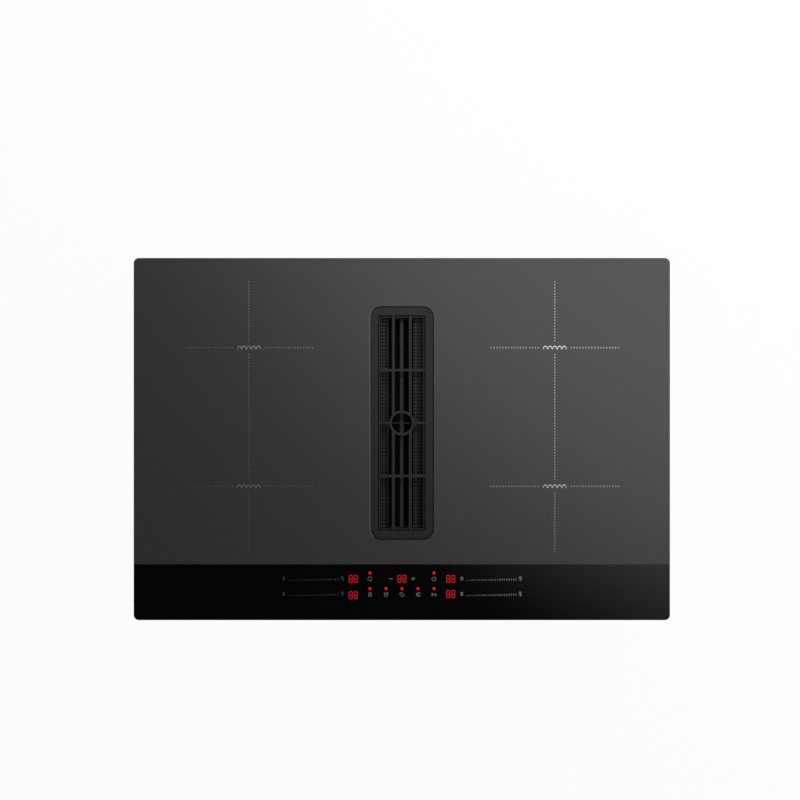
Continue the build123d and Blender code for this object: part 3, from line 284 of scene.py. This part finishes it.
glassFinish = {
    "stripEdge": -0.180,  # the gloss control strip lies in front of this line
    "edgeBlur": 0.0004,
    "matteColour": (0.0505, 0.0505, 0.051),
    "matteRoughness": 0.28,
    "matteVaries": 0.03,
    "matteShine": 0.56,
    "grain": (900, 3),  # scale and detail
    "glossColour": (0.0029, 0.0029, 0.003),
    "glossRoughness": 0.04,
    "glossShine": 0.9,
    "flatFrom": 0.9,  # a face counts as flat when its normal's Z is above this
    "bevelFrom": 0.3,  # and as a bevel above this
    "bevelShine": 0.3,  # share of the shine that the bevels and edges keep
    "edgeTurn": (0.4, 0.6),  # a normal's X from which a bevel, turned to the light, gets the painted highlight
    "paintedEdgeHighlight": 0.35,  # painted highlight on the bevel on the left of the vent only, which faces the light
}


def glassMaterial():
    finish = glassFinish
    material, tree, shader = newMaterial("ceramicGlass", finish["glossColour"], finish["glossRoughness"])
    place = textureSpot(tree)
    spot = apart(tree, place)
    facing = faceNormal(tree)
    line = finish["stripEdge"]
    flat = combine(tree, "GREATER_THAN", facing["Z"], finish["flatFrom"])
    matte = combine(tree, "MULTIPLY", spread(tree, spot["Y"], line, line + finish["edgeBlur"]), flat)
    low = finish["matteRoughness"] - finish["matteVaries"]
    high = finish["matteRoughness"] + finish["matteVaries"]
    grain = spread(tree, noise(tree, place, *finish["grain"]), *noiseRange, low, high)
    roughness = mixValue(tree, matte, finish["glossRoughness"], grain)
    shine = mixValue(tree, matte, finish["glossShine"], finish["matteShine"])
    shine = combine(tree, "MULTIPLY", shine, spread(tree, flat, 0.0, 1.0, finish["bevelShine"]))
    # painted highlight: the bevel on the left of the vent is made white and metallic, and the other bevels are not
    left = combine(tree, "LESS_THAN", spot["X"], 0.0)
    bevel = combine(tree, "GREATER_THAN", facing["Z"], finish["bevelFrom"])
    paintedHighlight = spread(tree, facing["X"], *finish["edgeTurn"], 0.0, finish["paintedEdgeHighlight"])
    paintedHighlight = combine(tree, "MULTIPLY", paintedHighlight, combine(tree, "MULTIPLY", bevel, left))
    tone = mixColour(tree, matte, (*finish["glossColour"], 1), (*finish["matteColour"], 1))
    tree.links.new(mixColour(tree, paintedHighlight, tone, white), shader.inputs["Base Color"])
    tree.links.new(paintedHighlight, shader.inputs["Metallic"])
    tree.links.new(roughness, shader.inputs["Roughness"])
    tree.links.new(shine, shader.inputs["Specular IOR Level"])
    return material


# tone, rough and bump are each a noise: scale, detail and its roughness
looks = {
    "coating": {
        "tone": (35, 2), "darkest": 0.92, "lightest": 1.08,
        "rough": (60, 3), "smoother": 0.04, "rougher": 0.05,
        "bump": (1400, 2), "strength": 0.12, "depth": 0.00004,
    },
    "brushing": {
        "tone": (60, 4), "darkest": 0.9, "lightest": 1.05,
        "rough": (60, 4), "smoother": 0.07, "rougher": 0.08,
        "bump": (60, 4), "strength": 0.08, "depth": 0.00003,
    },
    "moulding": {
        "tone": (18, 2), "darkest": 0.94, "lightest": 1.06,
        "rough": (40, 2), "smoother": 0.04, "rougher": 0.05,
        "bump": (1100, 3, 0.6), "strength": 0.22, "depth": 0.00008,
    },
    "rubber": {
        "tone": (500, 3), "darkest": 0.85, "lightest": 1.12,
        "rough": (500, 3), "smoother": 0.05, "rougher": 0.05,
        "bump": (500, 3), "strength": 0.3, "depth": 0.00015,
    },
    "stone": {
        "tone": (300, 5, 0.65), "darkest": 0.75, "lightest": 1.2,
        "rough": (300, 5, 0.65), "smoother": 0.08, "rougher": 0.08,
        "bump": (300, 5, 0.65), "strength": 0.2, "depth": 0.0001,
    },
}


def otherGrain(look, scale):  # the same look with one other scale for all its noises
    return {**look, **{use: (scale, *look[use][1:]) for use in ("tone", "rough", "bump")}}


looks["foam"] = otherGrain(looks["rubber"], 900)
looks["mica"] = otherGrain(looks["stone"], 120)
looks["ceramic"] = otherGrain(looks["stone"], 400)


def grainy(name, kind, colour, roughness, metallic=0.0, stretch=(1, 1, 1), **more):
    look = looks[kind]
    material, tree, shader = newMaterial(name, colour, roughness, metallic, **more)
    place = objectPlace(tree, stretch)
    grains = {}
    for use in ("tone", "rough", "bump"):
        if look[use] not in grains:
            grains[look[use]] = noise(tree, place, *look[use])
    low, high = shaded(colour, look["darkest"]), shaded(colour, look["lightest"])
    varyColour(tree, shader, grains[look["tone"]], low, high)
    low, high = roughness - look["smoother"], roughness + look["rougher"]
    varyRoughness(tree, shader, grains[look["rough"]], low, high)
    addBump(tree, shader, grains[look["bump"]], look["strength"], look["depth"])
    return material


def coatedMetal(name, colour, roughness, shine):
    return grainy(name, "coating", colour, roughness, Specular_IOR_Level=shine)


def brushedMetal(name, colour, roughness, stretch=(1, 60, 60)):
    return grainy(name, "brushing", colour, roughness, 1.0, stretch)


zinc = {
    "cellScale": 95.0,
    "hazeScale": 140.0,
    "warp": 0.06,  # share of the haze that bends the cells' edges
    "darkest": 0.82,
    "lightest": 1.1,
    "smoother": 0.09,
    "rougher": 0.1,
}


def zincSheet(name, colour, roughness):
    material, tree, shader = newMaterial(name, colour, roughness, 1.0)
    place = objectPlace(tree)
    haze = makeNode(tree, "ShaderNodeTexNoise", {"Vector": place, "Scale": zinc["hazeScale"], "Detail": 2.0})
    values = {0: zinc["warp"], 4: place, 5: haze.outputs["Color"]}
    warp = makeNode(tree, "ShaderNodeMix", values, data_type="VECTOR").outputs[1]
    cells = makeNode(tree, "ShaderNodeTexVoronoi", {"Vector": warp, "Scale": zinc["cellScale"]}, feature="F1")
    grey = makeNode(tree, "ShaderNodeSeparateColor", {0: cells.outputs["Color"]}).outputs
    low, high = shaded(colour, zinc["darkest"]), shaded(colour, zinc["lightest"])
    varyColour(tree, shader, grey[0], low, high, (0.0, 1.0))
    varyRoughness(tree, shader, grey[1], roughness - zinc["smoother"], roughness + zinc["rougher"], (0.0, 1.0))
    return material


copper = {
    "colour": (0.62, 0.27, 0.12),
    "dark": (0.42, 0.16, 0.07),
    "light": (0.78, 0.38, 0.18),
    "roughness": 0.34,
    "smoothest": 0.28,
    "roughest": 0.42,
    "metallic": 0.75,
    "grain": (700, 3),
    "strength": 0.5,
    "depth": 0.0004,
}


def woundCopper(name):
    material, tree, shader = newMaterial(name, copper["colour"], copper["roughness"], copper["metallic"])
    strands = noise(tree, objectPlace(tree), *copper["grain"])
    varyColour(tree, shader, strands, copper["dark"], copper["light"])
    varyRoughness(tree, shader, strands, copper["smoothest"], copper["roughest"])
    addBump(tree, shader, strands, copper["strength"], copper["depth"])
    return material


board = {
    "colour": (0.015, 0.12, 0.05),
    "roughness": 0.35,
    "smoothest": 0.3,
    "roughest": 0.42,
    "grain": (200, 2),
    "strength": 0.2,
    "depth": 0.00005,
    "tracks": {
        "Scale": 90.0,
        "Mortar Size": 0.09,
        "Color1": (0.013, 0.11, 0.045, 1),
        "Color2": (0.018, 0.14, 0.06, 1),
        "Mortar": (0.03, 0.2, 0.09, 1),
    },
}


def circuitBoard(name):
    material, tree, shader = newMaterial(name, board["colour"], board["roughness"])
    place = objectPlace(tree)
    tracks = makeNode(tree, "ShaderNodeTexBrick", {"Vector": place, **board["tracks"]}).outputs
    tree.links.new(tracks["Color"], shader.inputs["Base Color"])
    addBump(tree, shader, tracks["Fac"], board["strength"], board["depth"])
    grain = noise(tree, place, *board["grain"])
    varyRoughness(tree, shader, grain, board["smoothest"], board["roughest"])
    return material


# painted shade: shares of colour and shine kept where shade falls, set in the materials and not cast by the lamps
shadow = {
    "housing": 0.2,  # share of its light that a housing's upper side keeps
    "upFrom": 0.5,  # a face is an upper side when its normal's Z is above this
    "gap": 0.05,  # the same for the ledge in the joint round the grille
    "gapDepth": 0.0023,  # below the glass
    "gapRight": 0.0325,  # the joint lies in shadow to the right of this line
    "gapRear": 0.176,  # and behind this one
}


def facesUp(tree):
    return combine(tree, "GREATER_THAN", faceNormal(tree)["Z"], shadow["upFrom"])


# painted shade: marks the ledge in the joint round the grille, only to the right and at the rear, where the key
# light leaves it in shadow
def gapShadeMask(tree):
    spot = apart(tree, textureSpot(tree))
    low = combine(tree, "LESS_THAN", spot["Z"], glassTop - shadow["gapDepth"])
    right = combine(tree, "GREATER_THAN", spot["X"], shadow["gapRight"])
    rear = combine(tree, "GREATER_THAN", spot["Y"], shadow["gapRear"])
    return combine(tree, "MULTIPLY", low, combine(tree, "MAXIMUM", right, rear))


# painted shade: scales a material's colour and shine down to the given share where the mask is one
def paintShadeWhere(name, place, share):
    tree = bpy.data.materials[name].node_tree
    inputs = tree.nodes["Principled BSDF"].inputs
    level = spread(tree, place(tree), 0.0, 1.0, 1.0, share)
    values = {0: inputs["Base Color"].links[0].from_socket, "Scale": level}
    tone = makeNode(tree, "ShaderNodeVectorMath", values, operation="SCALE").outputs[0]
    tree.links.new(tone, inputs["Base Color"])
    shine = combine(tree, "MULTIPLY", level, inputs["Specular IOR Level"].default_value)
    tree.links.new(shine, inputs["Specular IOR Level"])


finishes = {
    "black_glass": glassMaterial(),
    "vent_metal": coatedMetal("coatedFrame", (0.0225, 0.0225, 0.023), 0.46, 0.28),
    "grille_metal": coatedMetal("coatedGrille", (0.024, 0.024, 0.0245), 0.46, 0.3),
    "filter_metal": coatedMetal("coatedFilter", (0.03, 0.03, 0.0305), 0.42, 0.4),
    "stainless": brushedMetal("brushedSteel", (0.56, 0.56, 0.55), 0.32),
    "galvanised": zincSheet("zincSheet", (0.5, 0.52, 0.53), 0.42),
    "aluminium": brushedMetal("millAluminium", (0.72, 0.73, 0.74), 0.3, (60, 2, 60)),
    "black_plastic": grainy("blackMoulding", "moulding", (0.03, 0.031, 0.033), 0.48),
    "grey_plastic": grainy("greyMoulding", "moulding", (0.3, 0.31, 0.32), 0.45),
    "white_plastic": grainy("whiteMoulding", "moulding", (0.74, 0.74, 0.72), 0.42),
    "black_rubber": grainy("blackRubber", "rubber", (0.012, 0.012, 0.012), 0.62),
    "grey_foam": grainy("closedFoam", "foam", (0.06, 0.06, 0.062), 0.85),
    "copper": woundCopper("enamelledCopper"),
    "ferrite": grainy("sinteredFerrite", "stone", (0.055, 0.055, 0.06), 0.5),
    "mica": grainy("pressedMica", "mica", (0.6, 0.54, 0.42), 0.4),
    "sensor_white": grainy("whiteCeramic", "ceramic", (0.78, 0.78, 0.75), 0.35),
    "circuit_green": circuitBoard("solderMask"),
    "display_red": grainy("smokedLens", "moulding", (0.16, 0.012, 0.012), 0.2),
    "bright_steel": brushedMetal("groundSteel", (0.66, 0.66, 0.67), 0.18),
    "screw_steel": brushedMetal("zincScrew", (0.5, 0.5, 0.5), 0.3, (40, 40, 40)),
}
# painted shade: a darker black than the other mouldings, also used for the tray, so the inside under the vent
# reads as shade
housing = grainy("blackHousingPaintedShade", "moulding", (0.018, 0.018, 0.019), 0.46)
ownFinish = {
    # painted shade: the trough is near black so that the slots and holes over it read as deep shade
    "filter_gutter": coatedMetal("troughPaintedShade", (0.004, 0.004, 0.004), 0.6, 0.1),
    # painted light: the rib is lighter than the rest of the filter, to make up for the shade of the grille over it
    "filter_handle": coatedMetal("ribPaintedLight", (0.036, 0.036, 0.0365), 0.42, 0.4),
    "joint_seal": grainy("jointSeal", "rubber", (0.008, 0.008, 0.008), 0.8),
    "inlet_shaft": housing,
    "suction_lid": housing,
    "blower_deck": housing,
    "suction_base": housing,
    "outlet_spigot": housing,
    "overflow_tray": housing,
}
# painted shade on the upper sides of the housings, and in the joint round the grille
paintShadeWhere("blackHousingPaintedShade", facesUp, shadow["housing"])
paintShadeWhere("coatedFrame", gapShadeMask, shadow["gap"])
paintShadeWhere("coatedGrille", gapShadeMask, shadow["gap"])
for part in frame["record"]["subparts"]:
    holder = nodes[part["node"]]
    holder.data.materials.clear()
    holder.data.materials.append(ownFinish.get(part["node"]) or finishes[part["material_slot"]])
print("finishes on", len(nodes), "nodes")


# the print on the glass, drawn with flat strokes in millimetres
ink = {
    "height": 0.00004,
    "haloHeight": 0.00002,
    "arcStep": 18,  # degrees
    "fewestSteps": 3,
    "dotSides": 10,
    "lampSides": 32,
    "grain": (2500, 2),
    "darkest": 0.9,
    "lightest": 1.1,
}
lampGlass = {"roughness": 0.25, "smoothest": 0.2, "roughest": 0.3, "haze": (1500, 2), "unlit": 0.3}


class Pen:
    def __init__(self):
        self.bm = bmesh.new()

    def bar(self, start, end, width):
        length = hypot(end[0] - start[0], end[1] - start[1])
        turn = atan2(end[1] - start[1], end[0] - start[0])
        middle = ((start[0] + end[0]) / 2, (start[1] + end[1]) / 2, 0)
        made = bmesh.ops.create_grid(self.bm, x_segments=1, y_segments=1, size=0.5)["verts"]
        bmesh.ops.scale(self.bm, verts=made, vec=(length, width, 1))
        bmesh.ops.rotate(self.bm, verts=made, matrix=Matrix.Rotation(turn, 3, "Z"))
        bmesh.ops.translate(self.bm, verts=made, vec=middle)

    def arc(self, centre, radius, width, start=0, turn=360, tall=1):
        inner = self.bm.verts.new((radius - width / 2, 0, 0))
        outer = self.bm.verts.new((radius + width / 2, 0, 0))
        profile = [inner, outer, self.bm.edges.new((inner, outer))]
        before = set(self.bm.verts)
        bmesh.ops.spin(
            self.bm, geom=profile, cent=(0, 0, 0), axis=(0, 0, 1), angle=radians(turn),
            steps=max(ink["fewestSteps"], round(turn / ink["arcStep"])), use_merge=turn >= 360,
        )
        made = [inner, outer] + [vert for vert in self.bm.verts if vert not in before]
        made = [vert for vert in made if vert.is_valid]
        bmesh.ops.rotate(self.bm, verts=made, matrix=Matrix.Rotation(radians(start), 3, "Z"))
        bmesh.ops.scale(self.bm, verts=made, vec=(1, tall, 1))
        bmesh.ops.translate(self.bm, verts=made, vec=(*centre, 0))

    def dot(self, centre, radius, sides):
        made = bmesh.ops.create_circle(self.bm, cap_ends=True, segments=sides, radius=radius)["verts"]
        bmesh.ops.translate(self.bm, verts=made, vec=(*centre, 0))

    def stroke(self, width, place=(0, 0), bar=None, arc=None, thick=1, **more):
        x, y = place
        if bar:
            self.bar(*[(x + end[0], y + end[1]) for end in bar], width * thick)
        else:
            self.arc((x + arc[0], y + arc[1]), width=width * thick, **more)

    def finish(self, name, material, place=(0, 0), height=ink["height"]):
        bm = self.bm
        bmesh.ops.scale(bm, verts=bm.verts, vec=(mm, mm, mm))
        for face in bm.faces:
            face.normal_update()
            if face.normal.z < 0:
                face.normal_flip()
        made = bmesh.ops.extrude_face_region(bm, geom=bm.faces[:], use_keep_orig=True)["geom"]
        lifted = [item for item in made if isinstance(item, bmesh.types.BMVert)]
        bmesh.ops.translate(bm, verts=lifted, vec=(0, 0, height))
        bmesh.ops.recalc_face_normals(bm, faces=bm.faces)
        bmesh.ops.translate(bm, verts=bm.verts, vec=(place[0] * mm, place[1] * mm, glassTop))
        piece = addMesh(name, bm, material)
        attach(piece, "root")


def inkMaterial(name, level, roughness, metallic):
    colour = [level] * 3
    material, tree, shader = newMaterial(name, colour, roughness, metallic)
    grain = noise(tree, objectPlace(tree), *ink["grain"])
    varyColour(tree, shader, grain, shaded(colour, ink["darkest"]), shaded(colour, ink["lightest"]))
    return material


def litMaterial(name, colour):
    unlit = shaded(colour, lampGlass["unlit"])
    material, tree, shader = newMaterial(name, unlit, lampGlass["roughness"], Emission_Strength=1.0)
    shader.inputs["Emission Color"].default_value = (*colour, 1)
    haze = noise(tree, objectPlace(tree), *lampGlass["haze"])
    varyRoughness(tree, shader, haze, lampGlass["smoothest"], lampGlass["roughest"])
    return material


markInk = inkMaterial("markInk", 0.46, 0.36, 0.92)
coilInk = inkMaterial("coilInk", 0.85, 0.36, 0.9)
iconInk = inkMaterial("iconInk", 0.26, 0.5, 0.0)
# painted light: the right scale's ink is a lighter diffuse copy of the left one's, so it looks lit from the right
scaleInksPaintedLight = {
    "left": inkMaterial("scaleInkLeft", 0.6, 0.32, 0.93),
    "right": inkMaterial("scaleInkRightPaintedLight", 0.3, 0.4, 0.0),
}
ledRed = litMaterial("ledRed", (0.60, 0.008, 0.007))
digitRed = litMaterial("digitRed", (0.46, 0.026, 0.036))
digitHalo = litMaterial("digitHalo", (0.26, 0.0, 0.003))

marks = {
    "zoneX": 219.6,
    "rearY": 131.3,
    "frontY": -67.8,
    "dotPitch": 4.23,
    "dotRadius": 1.12,
    "armStart": 23.7,  # from the zone's middle
    "armEnd": 91.5,
    "stemStart": 10,
    "stemEnd": 94,
    "coilLoops": 5,
    "coilRadius": 3.4,
    "coilStroke": 1.0,
    "coilTall": 1.55,  # how far the loops are stretched
    "coilDrop": 2.4,  # their feet below the zone's middle
}


def dotRow(pen, start, end, along, across):
    count = round(abs(end - start) / marks["dotPitch"]) + 1
    for step in range(count):
        at = start + (end - start) * step / (count - 1)
        pen.dot((at, across) if along == "x" else (across, at), marks["dotRadius"], ink["dotSides"])


def zoneLines(name, x):
    pen = Pen()
    rear, front = marks["rearY"], marks["frontY"]
    near, far = marks["stemStart"], marks["stemEnd"]
    for y in (rear, front):
        for way in (-1, 1):
            dotRow(pen, x + way * marks["armStart"], x + way * marks["armEnd"], "x", y)
    dotRow(pen, rear + near, rear + far, "y", x)
    dotRow(pen, front + near, rear - near, "y", x)
    dotRow(pen, front - near, front - far, "y", x)
    pen.finish(name, markInk)


def coilSigns(name, x):
    pen = Pen()
    width = 2 * marks["coilRadius"]
    radius = marks["coilRadius"] - marks["coilStroke"] / 2
    for y in (marks["rearY"], marks["frontY"]):
        for loop in range(marks["coilLoops"]):
            at = x + (loop - (marks["coilLoops"] - 1) / 2) * width
            spot = (at, y - marks["coilDrop"])
            pen.arc(spot, radius, marks["coilStroke"], turn=180, tall=marks["coilTall"])
    pen.finish(name, coilInk)


controls = {
    "columns": [-45.7, -22.7, 0.3, 23.2, 46.2],
    "ledRadius": 2.15,
    "ledRows": [-192.2, -214.7],
    "displaySpots": [(-69.8, -200.7), (0.2, -200.7), (70.2, -200.8), (70.2, -222.6), (-69.8, -224.2)],
    "digitWidth": 4.4,
    "digitHeight": 10.2,
    "digitSpacing": 7.2,
    "segmentWidth": 0.5,
    "segmentGap": 0.35,
    "haloWidth": 1.5,
}


def ledDots():
    pen = Pen()
    upper, lower = controls["ledRows"]
    columns = controls["columns"]
    for spot in [(column, lower) for column in columns] + [(columns[0], upper), (columns[-1], upper)]:
        pen.dot(spot, controls["ledRadius"], ink["lampSides"])
    pen.finish("led_dots", ledRed)


def digitSegments(pen, centre, width):
    half = controls["digitWidth"] / 2
    tall = controls["digitHeight"] / 2
    gap = controls["segmentGap"]
    x, y = centre
    for level in (-tall, 0, tall):
        pen.bar((x - half + gap, y + level), (x + half - gap, y + level), width)
    for side in (-half, half):
        for low, high in ((-tall + gap, -gap), (gap, tall - gap)):
            pen.bar((x + side, y + low), (x + side, y + high), width)


def displays():
    halo = Pen()
    light = Pen()
    for x, y in controls["displaySpots"]:
        for side in (-0.5, 0.5):
            spot = (x + side * controls["digitSpacing"], y)
            digitSegments(light, spot, controls["segmentWidth"])
            digitSegments(halo, spot, controls["haloWidth"])
    halo.finish("display_glow", digitHalo, height=ink["haloHeight"])
    light.finish("display_digits", digitRed)


scale = {
    "rows": [-203.2, -225.2],
    "starts": {"left": -163.2, "right": 92.4},
    "length": 71.4,
    "ticks": 23,
    "tickWidth": 0.75,
    "tickLow": 1.0,
    "tickHigh": 3.4,
    "figureStroke": 0.8,
    "zero": [dict(arc=(-6.3, 2.9), radius=1.55, tall=1.45)],  # from the scale's start
    "nine": [  # from its end
        dict(arc=(6.1, 4.3), radius=1.5),
        dict(bar=((7.6, 2.7), (7.6, 0.9))),
        dict(bar=((8.0, 0.5), (4.9, 0.5))),
    ],
}


def scales():
    for side, start in scale["starts"].items():
        pen = Pen()
        for base in scale["rows"]:
            for step in range(scale["ticks"]):
                share = step / (scale["ticks"] - 1)
                x = start + share * scale["length"]
                height = scale["tickLow"] + share * (scale["tickHigh"] - scale["tickLow"])
                pen.bar((x, base), (x, base + height), scale["tickWidth"])
            for figure, end in (("zero", start), ("nine", start + scale["length"])):
                for stroke in scale[figure]:
                    pen.stroke(scale["figureStroke"], (end, base), **stroke)
        pen.finish("scale_" + side, scaleInksPaintedLight[side])


symbols = {
    "rows": [-200.6, -223.1],
    "stroke": 0.75,
    "size": 0.83,
    "signShift": 15.9,  # of minus and plus from the middle column
}
halfStroke = symbols["stroke"] / 2
icons = {  # column, row, shift to the right, size, and strokes about the symbol's own centre
    "minus": (2, 0, -symbols["signShift"], 1.0, [
        dict(bar=((-2.9, 0), (2.9, 0))),
    ]),
    "plus": (2, 0, symbols["signShift"], 1.0, [
        dict(bar=((-2.9, 0), (2.9, 0))),
        dict(bar=((0, -halfStroke), (0, -2.9))),
        dict(bar=((0, halfStroke), (0, 2.9))),
    ]),
    "power": (4, 0, 0, symbols["size"], [
        dict(arc=(0, 0), radius=3.6, start=125, turn=290),
        dict(bar=((0, 0.6), (0, 3.9))),
    ]),
    "eco": (0, 0, 0, symbols["size"], [
        dict(arc=(0, 0.4), radius=3.1, start=42, turn=138),
        dict(arc=(0, -0.4), radius=3.1, start=222, turn=138),
        dict(bar=((3.6, 0.4), (2.4, 2.2))),
        dict(bar=((-3.6, -0.4), (-2.4, -2.2))),
    ]),
    "lock": (0, 1, 0, symbols["size"], [
        dict(bar=((-2.8, -2.9), (2.8, -2.9))),
        dict(bar=((-2.8, 0.9), (2.8, 0.9))),
        dict(bar=((-2.4, -2.5), (-2.4, 0.5))),
        dict(bar=((2.4, -2.5), (2.4, 0.5))),
        dict(arc=(0, 1.3), radius=1.7, turn=180, tall=1.25),
    ]),
    "timer": (1, 1, 0, symbols["size"], [
        dict(arc=(0, -0.4), radius=2.9),
        dict(bar=((0, -0.4), (0, 1.3))),
        dict(bar=((-3.6, 2.2), (-2.0, 3.4))),
        dict(bar=((2.0, 3.4), (3.6, 2.2))),
    ]),
    "bridge": (2, 1, 0, symbols["size"], [
        dict(arc=(-1.4, 1.3), radius=2.5, turn=260),
        dict(arc=(1.4, -1.3), radius=2.5, start=180, turn=260),
        dict(bar=((-2.2, 0.4), (-0.4, 2.2))),
    ]),
    "fan": (3, 1, 0.6, symbols["size"], [
        dict(arc=(0, 0), radius=1.3),
        dict(arc=(0, 0), radius=3.2, start=10, turn=290, thick=1.3),
        dict(bar=((1.95, -3.0), (3.8, -3.2))),
    ]),
    "boost": (4, 1, 0, symbols["size"], [
        dict(bar=((-3.3, -2.6), (-3.3, 2.6)), thick=1.2),
        dict(bar=((-2.55, -2.0), (-0.55, -0.58))),
        dict(bar=((-2.55, 2.0), (-0.55, 0.58))),
        dict(bar=((3.3, -2.6), (3.3, 2.6)), thick=1.2),
        dict(bar=((2.55, -2.0), (0.55, -0.58))),
        dict(bar=((2.55, 2.0), (0.55, 0.58))),
    ]),
}


def drawIcon(name, column, row, shift, size, strokes):
    pen = Pen()
    for stroke in strokes:
        pen.stroke(symbols["stroke"], **stroke)
    bmesh.ops.scale(pen.bm, verts=pen.bm.verts, vec=(size, size, 1))
    pen.finish("icon_" + name, iconInk, (controls["columns"][column] + shift, symbols["rows"][row]))


for sideName, side in (("left", -1), ("right", 1)):
    zoneLines("zone_marks_" + sideName, side * marks["zoneX"])
    coilSigns("coil_marks_" + sideName, side * marks["zoneX"])
ledDots()
displays()
scales()
for name, icon in icons.items():
    drawIcon(name, *icon)
print("print on the glass drawn")
